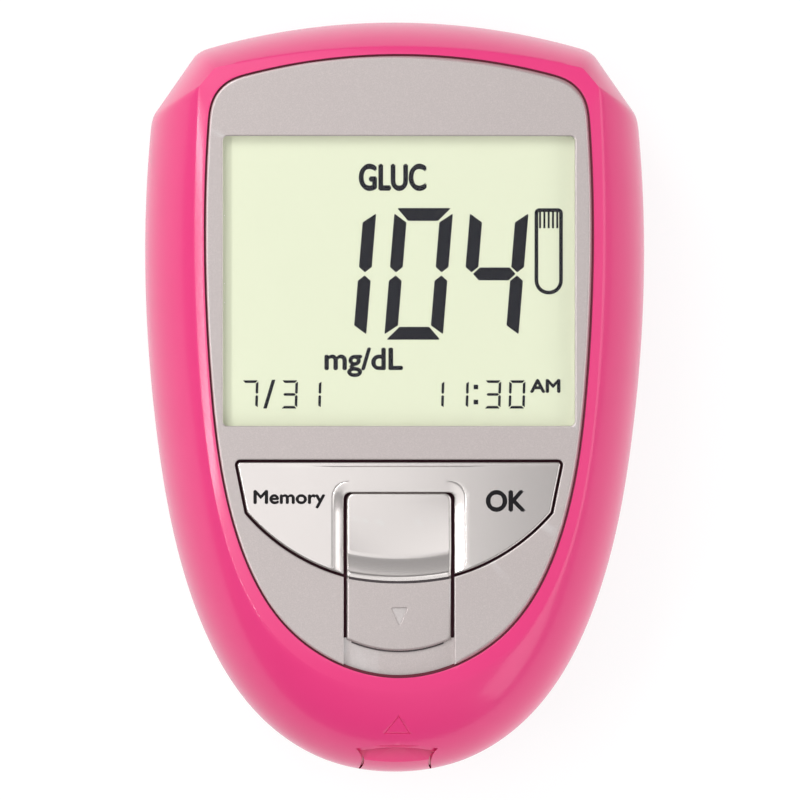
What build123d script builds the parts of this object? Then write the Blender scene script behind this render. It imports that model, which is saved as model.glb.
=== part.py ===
from build123d import *
import os
from math import asin, cos, pi, radians, sin, sqrt

# A hand-held blood glucose meter, lying on its back. +X is right and +Y is up as one reads the display,
# +Z points out of the display. The origin is the middle of the resting face. All sizes are millimetres.

# ---------------------------------------------------------------------------- housing
body_width = 64.0
body_length = 96.0
parting_height = 11.0  # where the two shells meet, and where the body is widest
wall = 1.8
back_rounding = 7.0  # how far the flat resting face lies inside the widest outline
back_turn = 72.0  # degrees that the back turns through between the parting line and the resting face
flank_turn = 60.0  # degrees that the flank turns through between the parting line and the ridge
ridge_rounding = 0.3
outer_levels = 5
inner_levels = 3

# The outline's corner and side: steps in from the half width, and down from the top or up from the nose.
body_corner = [(8.3, 3.3), (6.2, 4.6), (1.4, 11.5), (0.72, 13.9)]
body_side = [(0.0, 66.8), (1.6, 42.5), (6.1, 22.0), (15.25, 6.6), (23.28, 1.48)]

# ---------------------------------------------------------------------------- face panel
panel_side_margin = 7.3  # widest outline to the panel's edge
panel_top_margin = 4.5
panel_nose_margin = 12.4
panel_corner = [(5.3, 2.5), (2.85, 3.5), (1.15, 5.5), (0.52, 8.6)]
panel_side = [(0.05, 57.5), (0.85, 37.0), (3.7, 19.4), (10.8, 6.0), (17.5, 1.5)]
ridge_corner = [(2.5, 2.52), (2.05, 2.75), (0.75, 4.1), (0.52, 4.9)]
rim_width = 0.8  # ridge line outside the panel's edge
panel_gap = 0.3
panel_sink = 0.2  # panel below the ridge
panel_thickness = 1.8
panel_bevel = 0.35
deck_thickness = 1.5  # floor of the front shell, which carries the panel
deck_space = 5.2  # board to the deck

# ---------------------------------------------------------------------------- display
window_side_margin = 2.2  # panel's edge to the window
window_top_margin = 10.2
window_key_margin = 4.63  # window to the rocker key
window_corner = 0.6
lens_gap = 0.1
lens_flange = 0.5  # lens under the panel's lip, all round
lens_flange_thickness = 0.8
lens_lip = 0.5  # thickness of the panel's lip over the flange
lens_sink = 0.1
glass_margin = 0.8  # glass beyond the window, left and right
glass_ledge = 1.3  # glass beyond the window, above and below
glass_sheet = 0.9  # each of the two sheets
glass_gap = 0.1
contact_ledge = 2.6  # front sheet beyond the rear one, above and below
frame_gap = 0.3
frame_wall = 0.8
frame_shelf = 1.0
zebra_width = 1.8
zebra_end = 3.0  # glass edge to the end of a connector

# ---------------------------------------------------------------------------- board
board_clearance = 1.0  # roof of the battery bay to the board
board_thickness = 1.2
board_inset = 4.0  # board inside the widest outline
board_nose_reach = 7.0  # nose to the board
board_cheek = 2.0  # how far below its middle the board starts to narrow
board_corner = 9.0
board_nose_half_width = 12.0
post_radius = 2.0
post_x = 9.0
post_drop = 8.3  # body's top to the two screw posts
chip_size = 12.0
chip_height = 1.6
memory_size = (5.0, 4.0, 1.5)
chip_place = (0.0, 1.2)  # from the middle of the window, like the next three
memory_place = (13.0, -4.8)
crystal_place = (-11.0, 0.2)
small_part_row = (-6.0, -12.3)
crystal_radius = 1.0
crystal_length = 6.0
small_part = (1.6, 0.8, 0.7)
small_part_pitch = 3.0
small_part_count = 5
buzzer_radius = 5.5
buzzer_height = 4.2
buzzer_gap = 2.85  # wall of the battery bay to the buzzer
buzzer_drop = 10.8  # down from the middle of the window

# ---------------------------------------------------------------------------- rocker key
key_nose_margin = 12.0  # panel's nose to the lowest point of the key
key_length = 15.27
key_side_margin = 4.0  # panel's edge to the key
key_side_lean = 1.3
key_side_length = 6.37
key_gap = 0.35
key_thickness = 1.0
key_lift = 0.8  # free height under the key
key_crown = 0.25
recess_side_margin = 1.37  # width of the sloped wall left and right of the button
recess_top_margin = 1.08
recess_corner = 2.0
recess_depth = 0.5
key_post_inset = 6.2
key_post_drop = 6.17
key_post_radius = 1.4
switch_travel_gap = 0.5
pin_radius = 0.5
pin_length = 5.4
pin_overhang = 1.13  # pin beyond the top of the key
pin_running_gap = 0.05
lug_width = 2.4
lug_length = 1.5
lug_gap = 0.3
switch_size = 6.0
switch_body_height = 3.4
switch_stem_radius = 1.75
switch_stem_height = 0.9

# ---------------------------------------------------------------------------- ejector
button_half_width = 6.67
button_top_margin = 3.97  # top of the key to the button
button_nose_margin = 3.2  # button to the panel's nose
button_gap = 0.42
apron_length = 8.56  # foot of the raised head to the button's lower end, on the centre line
button_step_radius = 35.0
button_end_radius = 15.6
button_corner = 0.9
button_float = 0.1  # running gap under the button
apron_thickness = 0.75
head_rise = 0.75  # head above the apron
head_hollow = 0.35  # depth of the thumb hollow in the head
head_roll = 1.9  # length of the rolled step
bead_height = 0.12
bead_length = 0.55
channel_floor = 0.8  # panel left under the button's channel
eject_travel = 2.6
neck_half_width = 2.5
neck_length = 6.0
neck_drop = 5.7  # top of the button to the neck under it
neck_gap = 0.4
carriage_half_width = 6.4
carriage_above = 2.0  # carriage beyond the neck
carriage_below = 4.0
carriage_thickness = 1.5
carriage_gap = 0.15
rail_width = 1.0
arm_half_width = 1.2
arm_thickness = 1.2
finger_half_width = 1.0
finger_length = 1.6
finger_gap = 0.15
spring_x = 4.4
spring_radius = 1.1
spring_wire = 0.36  # diameter
spring_turns = 4.0
coil_steps = 10  # straight steps in each turn of a spring
spring_rest_length = 5.7
spring_wall = 0.8
spring_seat = 1.6  # half width of the walls that the springs push on

# ---------------------------------------------------------------------------- strip port
slot_half_width = 4.2
slot_height = 1.0
slot_floor_gap = 0.4  # board to the floor of the slot
scoop_reach = 3.2  # nose to the top of the scoop's arc
scoop_rise = 0.5
tongue_half_width = 4.9
tongue_waist = 4.1
waist_drop = 1.3  # end of the scoop's arc to the waist
tongue_gap = 0.35
port_half_width = 7.0
port_length = 6.5
connector_half_width = 6.0
connector_length = 9.7
connector_height = 2.4
connector_gap = 0.3
strip_depth = 13.7  # nose to the end of the strip's slot
contact_places = (1.9, 3.3)
contact_width = 0.7
contact_sheet = 0.2

# ---------------------------------------------------------------------------- battery bay
cell_radius = 5.25
cell_length = 44.5
cell_nub_radius = 1.9
cell_nub_height = 1.0
cell_gap = 0.3
bay_top_margin = 12.35  # body's top to the battery bay
bay_wall = 1.2
bay_roof = 0.9
contact_plate = 0.4
contact_half_width = 3.5
battery_spring_length = 4.0
battery_spring_big = 3.0
battery_spring_small = 1.9
battery_spring_wire = 0.5
battery_spring_turns = 3.0
door_sink = 0.2
door_thickness = 1.4
door_gap = 0.3
door_ledge = 1.7  # door beyond the bay, all round
door_corner = 2.0
door_ledge_thickness = 1.3
tab_inset = 0.55  # inside the bay's half width
tab_width = 2.2
tab_reach = 1.2
tab_thickness = 0.9
tab_gap = 0.15
latch_half_width = 5.0
latch_height = 2.8
latch_wall = 0.7
latch_nib = 0.45
latch_gap = 0.1
grip_width = 12.0
grip_groove = 0.6
grip_count = 4

# ---------------------------------------------------------------------------- screws and lips
upper_screw = (6.05, 9.6)  # out from the battery bay, and down from the body's top
lower_screw = (12.5, 17.0)  # from the centre line, and up from the nose
screw_sides = 12  # of the threaded shanks, which nothing turns in
screw_radius = 1.0
screw_head_radius = 1.9
screw_head_height = 1.5
screw_sink = 2.5  # resting face to the top of the head
screw_reach = 16.0
screw_hole_gap = 0.05
screw_head_gap = 0.25
boss_wall = 1.35
small_screw_radius = 0.7
small_head_radius = 1.5
small_head_height = 1.0
board_screw_reach = 19.0
lip_height = 1.4
lip_thickness = 0.8
lip_inset = 0.95
lip_gap = 0.12
rib_thickness = 1.0
rib_height = 3.0
beyond = 30.0  # cutting tools run this far past what they cut

# ---------------------------------------------------------------------------- heights, from the back up
door_back = door_sink + door_thickness
cell_height = door_back + cell_gap + cell_radius
roof_back = cell_height + cell_radius + cell_gap
roof_face = roof_back + bay_roof
board_bottom = roof_face + board_clearance
board_face = board_bottom + board_thickness
deck_back = board_face + deck_space
deck_face = deck_back + deck_thickness
panel_face = deck_face + panel_thickness
rim_height = panel_face + panel_sink
flank_height = rim_height - ridge_rounding

# ---------------------------------------------------------------------------- worked out from these
body_nose = -body_length / 2
panel_half_width = body_width / 2 - panel_side_margin
panel_top = body_length / 2 - panel_top_margin
panel_nose = body_nose + panel_nose_margin
key_bottom = panel_nose + key_nose_margin
key_top = key_bottom + key_length
key_half_width = panel_half_width - key_side_margin
key_side_bottom = (key_half_width - key_side_lean, key_top - key_side_length)
key_post_place = (key_half_width - key_post_inset, key_top - key_post_drop)
pin_end = key_top + pin_overhang
window_half_width = panel_half_width - window_side_margin
window_top = panel_top - window_top_margin
window_bottom = key_top + window_key_margin
window_middle = (window_top + window_bottom) / 2
window_half_length = (window_top - window_bottom) / 2
button_top = key_top - button_top_margin
button_end = panel_nose + button_nose_margin
button_step = button_end + apron_length
recess_half_width = button_half_width + button_gap + recess_side_margin
recess_top = button_top + button_gap + recess_top_margin
neck_top = button_top - neck_drop
neck_bottom = neck_top - neck_length
carriage_top = neck_top + carriage_above
carriage_bottom = neck_bottom - carriage_below
scoop_top = body_nose + scoop_reach
scoop_side = scoop_top - scoop_rise
tongue_waist_y = scoop_side - waist_drop
port_inner = body_nose + port_length
connector_low = port_inner + connector_gap
connector_top = connector_low + connector_length
strip_stop = body_nose + strip_depth
board_nose = body_nose + board_nose_reach
lens_face = panel_face - lens_sink
lens_shoulder = panel_face - lens_lip
lens_back = lens_shoulder - lens_flange_thickness
glass_face = lens_back - glass_gap
glass_middle = glass_face - glass_sheet
glass_back = glass_middle - glass_sheet
glass_half_width = window_half_width + glass_margin
glass_half_length = window_half_length + glass_ledge
frame_top = deck_back - glass_gap
key_back = deck_face + key_lift
key_face = key_back + key_thickness
pin_height = deck_face - pin_radius
channel_face = deck_face + channel_floor
button_back = channel_face + button_float
apron_face = button_back + apron_thickness
carriage_face = deck_back - carriage_gap
carriage_back = carriage_face - carriage_thickness
slot_floor = board_face + slot_floor_gap
slot_roof = slot_floor + slot_height
connector_face = board_face + connector_height
finger_top = strip_stop + finger_length + finger_gap
finger_bottom = strip_stop + finger_gap
spring_height = carriage_back + spring_wire / 2
cell_x = cell_radius + cell_gap / 2
bay_half_width = cell_x + cell_radius + cell_gap
bay_length = cell_length + 2 * contact_plate + battery_spring_length
bay_top = body_length / 2 - bay_top_margin
bay_bottom = bay_top - bay_length
door_recess = door_back + tab_gap / 2
tab_far = bay_half_width - tab_inset
tab_near = tab_far - tab_width
tab_foot = wall + 2 * tab_gap
tab_top = tab_foot + tab_thickness
nib_foot = door_back + latch_height / 4
tab_swing = sqrt(tab_top**2 + tab_reach**2)  # height that the tab's end swings through as the door opens
screw_seat = screw_sink + screw_head_height
boss_radius = screw_radius + boss_wall
housing_screws = [
    (bay_half_width + upper_screw[0], body_length / 2 - upper_screw[1]),
    (lower_screw[0], body_nose + lower_screw[1]),
]
post_y = body_length / 2 - post_drop


# ============================================================================ outlines
def pace(points):
    """How far along the chain of points each one lies."""
    distances = [0.0]
    for before, after in zip(points, points[1:]):
        distances.append(distances[-1] + (after - before).length)
    return distances


class Outline:
    """A closed outline, the same left and right, held by the points of its right half from top to nose."""

    def __init__(self, points):
        self.points = points

    @classmethod
    def sized(cls, half_width, top, nose, corner, side):
        """Corner steps run in and down from the corner of the box, side steps in and up from the nose."""
        points = [Vector(0, top)]
        points += [Vector(half_width - inwards, top - down) for inwards, down in corner]
        points += [Vector(half_width - inwards, nose + up) for inwards, up in side]
        return cls(points + [Vector(0, nose)])

    def grown(self, amount):
        """Every point moved outwards, square to the line through its neighbours; inwards if negative."""
        left_first = Vector(-self.points[1].X, self.points[1].Y)
        left_last = Vector(-self.points[-2].X, self.points[-2].Y)
        chain = [left_first] + self.points + [left_last]
        moved = []
        for before, point, after in zip(chain, chain[1:], chain[2:]):
            along = (after - before).normalized()
            moved.append(point + Vector(-along.Y, along.X) * amount)
        return Outline(moved)

    def drawn_in(self, depth):
        """The outline shrunk so that its sides and its ends lie the given depth further in."""
        across = 1 - 2 * depth / body_width
        along = 1 - 2 * depth / body_length
        return Outline([Vector(p.X * across, p.Y * along) for p in self.points])

    def towards(self, other, share):
        """The outline that lies the given share of the way from this one to the other."""
        return Outline([p + (q - p) * share for p, q in zip(self.points, other.points)])

    def face(self, height):
        """A flat face: an arc over the top, a bevelled corner each side, and one curve down to the nose."""
        top, shoulder, bevel_start, bevel_end, cheek, *side = self.points
        drop = top.Y - shoulder.Y
        arc_radius = (shoulder.X**2 + drop**2) / (2 * drop)
        turned = asin(shoulder.X / arc_radius)
        over = Vector(cos(turned), -sin(turned))
        bevel = bevel_end - bevel_start
        down = Vector(2 * (side[0].X - cheek.X), side[0].Y - cheek.Y)
        corner = Edge.make_spline(
            [shoulder, bevel_start, bevel_end, cheek],
            tangents=[over, bevel, bevel, down],
            parameters=corner_pace,
        )
        flank = Edge.make_spline(
            [cheek, *side], tangents=[down, Vector(-1, 0)], parameters=side_pace
        )
        over_top = ThreePointArc((-shoulder.X, shoulder.Y), top, shoulder)
        edges = [over_top, corner, flank]
        edges += [mirror(line, about=Plane.YZ).edge() for line in (corner, flank)]
        return Pos(0, 0, height) * Face(Wire(edges))


body_outline = Outline.sized(body_width / 2, body_length / 2, body_nose, body_corner, body_side)
corner_pace = pace(body_outline.points[1:5])
side_pace = pace(body_outline.points[4:])
back_outline = body_outline.drawn_in(back_rounding)
panel_outline = Outline.sized(panel_half_width, panel_top, panel_nose, panel_corner, panel_side)
ridge_outline = Outline.sized(
    panel_half_width + rim_width,
    panel_top + rim_width,
    panel_nose - rim_width,
    ridge_corner,
    panel_side,
)


# ============================================================================ helpers
def block(x0, x1, y0, y1, z0, z1):
    """A box between two opposite corners."""
    return Pos((x0 + x1) / 2, (y0 + y1) / 2, (z0 + z1) / 2) * Box(x1 - x0, y1 - y0, z1 - z0)


def centred(half_width, y0, y1, z0, z1):
    """A box the same left and right of the centre line."""
    return block(-half_width, half_width, y0, y1, z0, z1)


def rod(x, y, z0, z1, radius):
    """An upright cylinder."""
    return Pos(x, y, (z0 + z1) / 2) * Cylinder(radius, z1 - z0)


def pair(shape):
    """The shape and its mirror image."""
    return [shape, mirror(shape, about=Plane.YZ)]


def rounded_plate(half_width, y0, y1, z0, z1, corner):
    """An upright prism over a rectangle with rounded corners."""
    outline = Pos(0, (y0 + y1) / 2, z0) * RectangleRounded(2 * half_width, y1 - y0, corner)
    return extrude(outline, z1 - z0)


def prism(outline, z0, z1):
    """An outline carried straight up between two heights."""
    return extrude(outline.face(z0), z1 - z0, dir=(0, 0, 1))


def steps(last, count):
    """Evenly spaced turns from nought to the last."""
    return [last * step / (count - 1) for step in range(count)]


def front_section(turn, depth=0.0):
    """The flank's outline where it has turned by the given degrees, the given depth under its surface."""
    share = (1 - cos(radians(turn))) / (1 - cos(radians(flank_turn)))
    level = body_outline.towards(ridge_outline, share).drawn_in(depth * cos(radians(turn)))
    rise = (flank_height - parting_height) / sin(radians(flank_turn)) - depth
    return level.face(parting_height + rise * sin(radians(turn)))


def front_body():
    """The upper half of the body: a flank that turns in to the ridge, and the ridge's bevelled crest."""
    flank = loft([front_section(turn) for turn in steps(flank_turn, outer_levels)])
    crest = ridge_outline.towards(panel_outline, ridge_rounding / rim_width)
    return flank + loft([ridge_outline.face(flank_height), crest.face(rim_height)])


def front_cavity():
    """The hollow of the upper shell, from the parting line up to the deck."""
    rise = (flank_height - parting_height) / sin(radians(flank_turn)) - wall
    last = asin((deck_back - parting_height) / rise) * 180 / pi
    return loft([front_section(turn, wall) for turn in steps(last, inner_levels)], ruled=True)


def back_section(turn, depth=0.0):
    """The back's outline where its rounding has turned by the given degrees towards the resting face."""
    share = (1 - cos(radians(turn))) / (1 - cos(radians(back_turn)))
    level = body_outline.towards(back_outline, share).drawn_in(depth * cos(radians(turn)))
    drop = parting_height / sin(radians(back_turn)) - depth
    return level.face(parting_height - drop * sin(radians(turn)))


def back_body():
    """The lower half of the body, lofted from the resting face up to the parting line."""
    return loft([back_section(turn) for turn in steps(back_turn, outer_levels)[::-1]])


def back_cavity():
    """The hollow of the lower shell."""
    turns = steps(back_turn, inner_levels)[::-1]
    return loft([back_section(turn, wall) for turn in turns], ruled=True)


def coil(bottom_radius, top_radius, wire, length, turns):
    """A helical or conical spring standing on Z = 0, lofted through sections of its four-sided wire."""
    count = round(turns * coil_steps)
    sections = []
    for step in range(count + 1):
        share = step / count
        angle = 2 * pi * turns * share
        radius = bottom_radius + (top_radius - bottom_radius) * share
        outwards = Vector(cos(angle), sin(angle), 0)
        middle = outwards * radius + Vector(0, 0, wire / 2 + (length - wire) * share)
        across = Plane(origin=middle, x_dir=outwards, z_dir=Vector(0, 0, 1).cross(outwards))
        sections.append(across * RegularPolygon(wire / 2, 4))
    return loft(sections, ruled=True)


# ============================================================================ key and button outlines
def key_face_outline(grown=0.0):
    """The D shape of the rocker key: straight top and sides, and a wide arc below, grown all round."""
    side_x, side_y = key_side_bottom
    edges = [
        Line((-key_half_width, key_top), (key_half_width, key_top)),
        Line((key_half_width, key_top), (side_x, side_y)),
        ThreePointArc((side_x, side_y), (0, key_bottom), (-side_x, side_y)),
        Line((-side_x, side_y), (-key_half_width, key_top)),
    ]
    outline = make_face(Curve() + edges)
    if grown:
        outline = offset(outline, grown, kind=Kind.INTERSECTION)
    return outline


def button_outline(grown=0.0):
    """The button from above: rounded top corners, straight sides and an arc at its lower end."""
    half = button_half_width + grown
    top = button_top + grown
    end = button_end - grown
    radius = button_end_radius + grown
    side = end + radius - sqrt(radius**2 - half**2)
    corner = button_corner + grown
    bend = corner * (1 - sqrt(0.5))
    edges = [
        Line((-half + corner, top), (half - corner, top)),
        ThreePointArc((half - corner, top), (half - bend, top - bend), (half, top - corner)),
        Line((half, top - corner), (half, side)),
        ThreePointArc((half, side), (0, end), (-half, side)),
        Line((-half, side), (-half, top - corner)),
        ThreePointArc((-half, top - corner), (-half + bend, top - bend), (-half + corner, top)),
    ]
    return make_face(Curve() + edges)


def recess_outline(half_width, top, corner):
    """The U shape in the key round the button: rounded above, open below."""
    low = key_bottom - beyond
    middle = (top + low) / 2
    return Pos(0, middle) * RectangleRounded(2 * half_width, top - low, corner)


def tongue_outline(grown=0.0):
    """The strip port's tongue from above: a shallow arc on top and a waist between two flares."""
    half = tongue_half_width + grown
    waist = tongue_waist + grown
    top = scoop_top + grown
    side = scoop_side + grown
    low = 2 * tongue_waist_y - side
    floor = low - beyond
    edges = [
        ThreePointArc((-half, side), (0, top), (half, side)),
        ThreePointArc((half, side), (waist, tongue_waist_y), (half, low)),
        Line((half, low), (half, floor)),
        Line((half, floor), (-half, floor)),
        Line((-half, floor), (-half, low)),
        ThreePointArc((-half, low), (-waist, tongue_waist_y), (-half, side)),
    ]
    return make_face(Curve() + edges)


def tongue_block(grown, z0, z1):
    """The tongue's outline carried straight up between two heights."""
    return extrude(Pos(0, 0, z0) * tongue_outline(grown), z1 - z0)


# ============================================================================ pieces of the housing
def front_cover():
    """The upper shell: flanks and ridge, the deck under the panel, posts, bosses, rails and the port."""
    whole = front_body()
    rebate_top = parting_height + lip_height + lip_gap
    shell = whole - front_cavity()
    shell -= prism(body_outline.drawn_in(lip_inset - lip_gap), parting_height, rebate_top)
    shell -= prism(panel_outline.grown(panel_gap), deck_face, rim_height + beyond)

    port = centred(port_half_width, -body_length, port_inner, parting_height, slot_roof + wall)
    inside = [port & whole]
    inside += pair(rod(post_x, post_y, board_face, deck_face, post_radius))
    for x, y in housing_screws:
        inside += pair(rod(x, y, parting_height, deck_face, boss_radius) & whole)
    rail_x = carriage_half_width + finger_gap
    rail_bottom = carriage_bottom - eject_travel
    inside += pair(
        block(rail_x, rail_x + rail_width, rail_bottom, carriage_top, carriage_back, deck_face)
    )
    stop = carriage_bottom - spring_wall - spring_rest_length
    spring_low = spring_height - spring_radius
    inside += pair(
        block(
            spring_x - spring_seat,
            spring_x + spring_seat,
            stop - spring_wall,
            stop,
            spring_low,
            deck_face,
        )
    )
    shell += inside

    cuts = []
    glass_x = glass_half_width + frame_gap
    glass_y = glass_half_length + frame_gap
    cuts.append(
        centred(glass_x, window_middle - glass_y, window_middle + glass_y, deck_back, deck_face)
    )
    hole = small_screw_radius + screw_hole_gap
    cuts += pair(shank(post_x, post_y, board_face, board_screw_reach, hole))
    for x, y in housing_screws:
        cuts += pair(shank(x, y, parting_height, screw_reach, screw_radius + screw_hole_gap))
    key_x, key_y = key_post_place
    cuts += pair(rod(key_x, key_y, deck_back, deck_face, key_post_radius + neck_gap))
    cuts.append(
        centred(
            neck_half_width + neck_gap,
            neck_bottom - eject_travel - neck_gap,
            neck_top + neck_gap,
            deck_back,
            deck_face,
        )
    )
    cuts.append(lug_slot())
    cuts.append(pin_groove())
    cuts.append(tongue_block(tongue_gap, 0, beyond))
    cuts.append(
        centred(slot_half_width, scoop_top - wall, port_inner, slot_floor, slot_roof)
    )
    return shell - cuts


def lug_slot():
    """The slot in the deck that the key's hinge lug swings in."""
    half_length = lug_length / 2 + pin_running_gap
    return centred(
        lug_width / 2 + lug_gap,
        hinge_y() - half_length,
        hinge_y() + half_length,
        deck_back,
        deck_face,
    )


def pin_groove():
    """The open groove in the deck that the hinge pin lies in, with the panel as its lid."""
    half = pin_radius
    low = pin_end - pin_length
    groove = centred(half, low, pin_end, pin_height, deck_face)
    return groove + lying_rod(pin_height, low, pin_end, pin_radius)


def lying_rod(height, y0, y1, radius):
    """A cylinder along Y on the centre line."""
    return Pos(0, (y0 + y1) / 2, height) * Rot(90, 0, 0) * Cylinder(radius, y1 - y0)


def hinge_y():
    """Middle of the key's hinge lug, half way along the pin."""
    return pin_end - pin_length / 2


def rear_cover():
    """The lower shell: rounded back, battery bay, screw bosses, ribs, lip and the port's tongue."""
    outer = back_body()
    shell = outer - back_cavity()
    both = outer + front_body()
    inside = [lip() - centred(port_half_width + lip_gap, -body_length, port_inner, 0, beyond)]
    bay_x = bay_half_width + bay_wall
    inside.append(
        centred(bay_x, bay_bottom - bay_wall, bay_top + bay_wall, 0, roof_face)
    )
    ledge_x = bay_half_width + door_ledge + door_gap + bay_wall
    ledge_y = door_ledge + door_gap + bay_wall
    inside.append(
        centred(
            ledge_x, bay_bottom - ledge_y, bay_top + ledge_y, 0, door_recess + door_ledge_thickness
        )
    )
    for x, y in housing_screws:
        inside += pair(rod(x, y, 0, parting_height, screw_head_radius + boss_wall) & outer)
    bay_middle = (bay_bottom + bay_top) / 2
    for count in (1, 2):
        x = bay_x + rib_thickness + count * rib_height
        rib = block(x, x + rib_thickness, bay_bottom, bay_middle, wall / 2, wall + rib_height)
        inside += pair(rib & outer)
    inside.append(tongue_block(0, 0, slot_floor) & both)
    shell += inside

    cuts = [centred(bay_half_width, bay_bottom, bay_top, -beyond, roof_back)]
    recess_x = bay_half_width + door_ledge + door_gap
    recess_y = door_ledge + door_gap
    cuts.append(
        rounded_plate(
            recess_x,
            bay_bottom - recess_y,
            bay_top + recess_y,
            -beyond,
            door_recess,
            door_corner + door_gap,
        )
    )
    tab_low = bay_bottom - recess_y - tab_reach
    cuts += pair(
        block(
            tab_near - door_gap,
            tab_far + door_gap,
            tab_low - 2 * tab_gap,
            bay_bottom,
            tab_foot - tab_gap,
            tab_swing + tab_gap,
        )
    )
    cuts += pair(
        block(
            tab_near - door_gap,
            tab_far + door_gap,
            bay_bottom - recess_y,
            bay_bottom,
            door_sink,
            tab_foot,
        )
    )
    latch_x = latch_half_width + door_gap
    latch_top = door_back + latch_height + tab_gap
    catch = nib_foot - tab_gap
    cuts.append(centred(latch_x, bay_top, bay_top + door_ledge, 0, latch_top))
    cuts.append(centred(latch_x, bay_top, bay_top + recess_y, catch, latch_top))
    slot = contact_plate + cell_gap
    for y0 in (bay_bottom, bay_top - slot):
        left = cell_x - contact_half_width
        right = cell_x + contact_half_width
        cuts += pair(block(left, right, y0, y0 + slot, roof_back, roof_face))
    for x, y in housing_screws:
        cuts += pair(rod(x, y, -beyond, screw_seat, screw_head_radius + screw_head_gap))
        cuts += pair(shank(x, y, 0, parting_height, screw_radius + screw_head_gap))
    return shell - cuts


def lip():
    """The thin wall on the lower shell's edge that the upper shell closes over."""
    top = parting_height + lip_height
    outer = prism(body_outline.drawn_in(lip_inset), parting_height, top)
    return outer - prism(body_outline.drawn_in(lip_inset + lip_thickness), parting_height, top)


def face_panel():
    """The silver plate: bevelled edge, window with its lip, key opening and button channel."""
    plate = prism(panel_outline, deck_face, panel_face)
    top_edges = plate.faces().sort_by(Axis.Z)[-1].edges()
    plate = chamfer(top_edges, panel_bevel)
    low = window_bottom
    high = window_top
    half = window_half_width
    seat = lens_flange + lens_gap
    glass_x = glass_half_width + glass_gap
    glass_y = glass_half_length + glass_gap
    cuts = [
        rounded_plate(half, low, high, deck_face, panel_face, window_corner),
        centred(half + seat, low - seat, high + seat, deck_face, lens_shoulder),
        centred(
            glass_x, window_middle - glass_y, window_middle + glass_y, deck_face, lens_back
        ),
        extrude(Pos(0, 0, deck_face) * key_face_outline(key_gap), panel_thickness),
        extrude(Pos(0, 0, channel_face) * button_channel(), panel_thickness),
        centred(
            neck_half_width + neck_gap,
            neck_bottom - eject_travel - neck_gap,
            neck_top,
            deck_face,
            channel_face,
        ),
    ]
    return plate - cuts


def button_channel():
    """The channel in the panel that the button slides down, ended by the panel's lower edge."""
    half = button_half_width + button_gap
    return Pos(0, (key_top + panel_nose) / 2) * Rectangle(2 * half, key_top - panel_nose)


def display_lens():
    """The clear window: a face that fills the opening and a flange that is glued under the lip."""
    half = window_half_width - lens_gap
    low = window_bottom + lens_gap
    high = window_top - lens_gap
    face = rounded_plate(half, low, high, lens_back, lens_face, window_corner)
    margin = lens_gap + lens_flange
    return face + centred(half + margin, low - margin, high + margin, lens_back, lens_shoulder)


# ============================================================================ display and board
def lcd_glass():
    """Two bonded sheets: the front one overhangs the rear one so that the connectors can reach it."""
    front = centred(
        glass_half_width,
        window_middle - glass_half_length,
        window_middle + glass_half_length,
        glass_middle,
        glass_face,
    )
    rear_half = glass_half_length - contact_ledge
    rear = centred(
        glass_half_width, window_middle - rear_half, window_middle + rear_half, glass_back, glass_middle
    )
    return front + rear


def zebra_middle():
    """Distance of each connector's middle from the middle of the display."""
    return glass_half_length - contact_ledge / 2


def zebra_strips():
    """Two rubber connectors between the board and the overhanging sheet of glass."""
    half = glass_half_width - zebra_end
    strips = []
    for side in (-1, 1):
        y = window_middle + side * zebra_middle()
        strips.append(
            centred(half, y - zebra_width / 2, y + zebra_width / 2, board_face, glass_middle)
        )
    return strips


def lcd_frame():
    """The holder of the display: a box frame with a shelf under the glass and slots for the connectors."""
    outer_x = glass_half_width + frame_gap + frame_wall
    outer_y = glass_half_length + frame_gap + frame_wall
    frame = centred(
        outer_x, window_middle - outer_y, window_middle + outer_y, board_face, frame_top
    )
    inner_x = outer_x - frame_wall
    inner_y = outer_y - frame_wall
    shelf = frame_top - frame_shelf
    low = window_middle - inner_y
    high = window_middle + inner_y
    rear_half = glass_half_length - contact_ledge - zebra_width / 2
    frame -= centred(inner_x, low, high, board_face, shelf)
    frame += centred(
        glass_half_width - frame_gap,
        window_middle - rear_half,
        window_middle + rear_half,
        shelf,
        glass_back,
    )
    frame -= centred(
        glass_half_width - zebra_end, window_middle - rear_half + 3, window_middle + rear_half - 3,
        shelf, glass_face,
    )
    for side in (-1, 1):
        y = window_middle + side * zebra_middle()
        half_slot = zebra_width / 2 + frame_gap
        frame -= centred(
            glass_half_width - zebra_end + frame_gap, y - half_slot, y + half_slot, shelf, glass_face
        )
    return frame


def main_board():
    """The circuit board: bevelled at the top, narrowing to the strip port, notched round the bosses."""
    half = body_width / 2 - board_inset
    top = body_length / 2 - board_inset
    right = [
        (half - board_corner, top),
        (half, top - board_corner),
        (half, -board_cheek),
        (board_nose_half_width, board_nose),
    ]
    left = [(-x, y) for x, y in reversed(right)]
    outline = Pos(0, 0, board_bottom) * make_face(Polyline(*right, *left, right[0]))
    board = extrude(outline, board_thickness, dir=(0, 0, 1))
    (upper_x, upper_y), (lower_x, lower_y) = housing_screws
    notch = boss_radius + neck_gap
    upper = block(
        upper_x - notch, upper_x + notch, upper_y - notch, body_length, board_bottom, board_face
    )
    lower = block(
        lower_x - notch, body_width, lower_y - notch, lower_y + notch, board_bottom, board_face
    )
    hole = shank(post_x, post_y, board_bottom, board_face, small_screw_radius + screw_head_gap)
    return board - pair(upper) - pair(lower) - pair(hole)


def microcontroller():
    """A square chip with a bevelled top."""
    x = chip_place[0]
    y = window_middle + chip_place[1]
    half = chip_size / 2
    chip = block(x - half, x + half, y - half, y + half, board_face, board_face + chip_height)
    return chamfer(chip.faces().sort_by(Axis.Z)[-1].edges(), chip_height / 4)


def memory_chip():
    """A small chip that keeps the results."""
    x = memory_place[0]
    y = window_middle + memory_place[1]
    return standing(x, y, memory_size)


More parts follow.
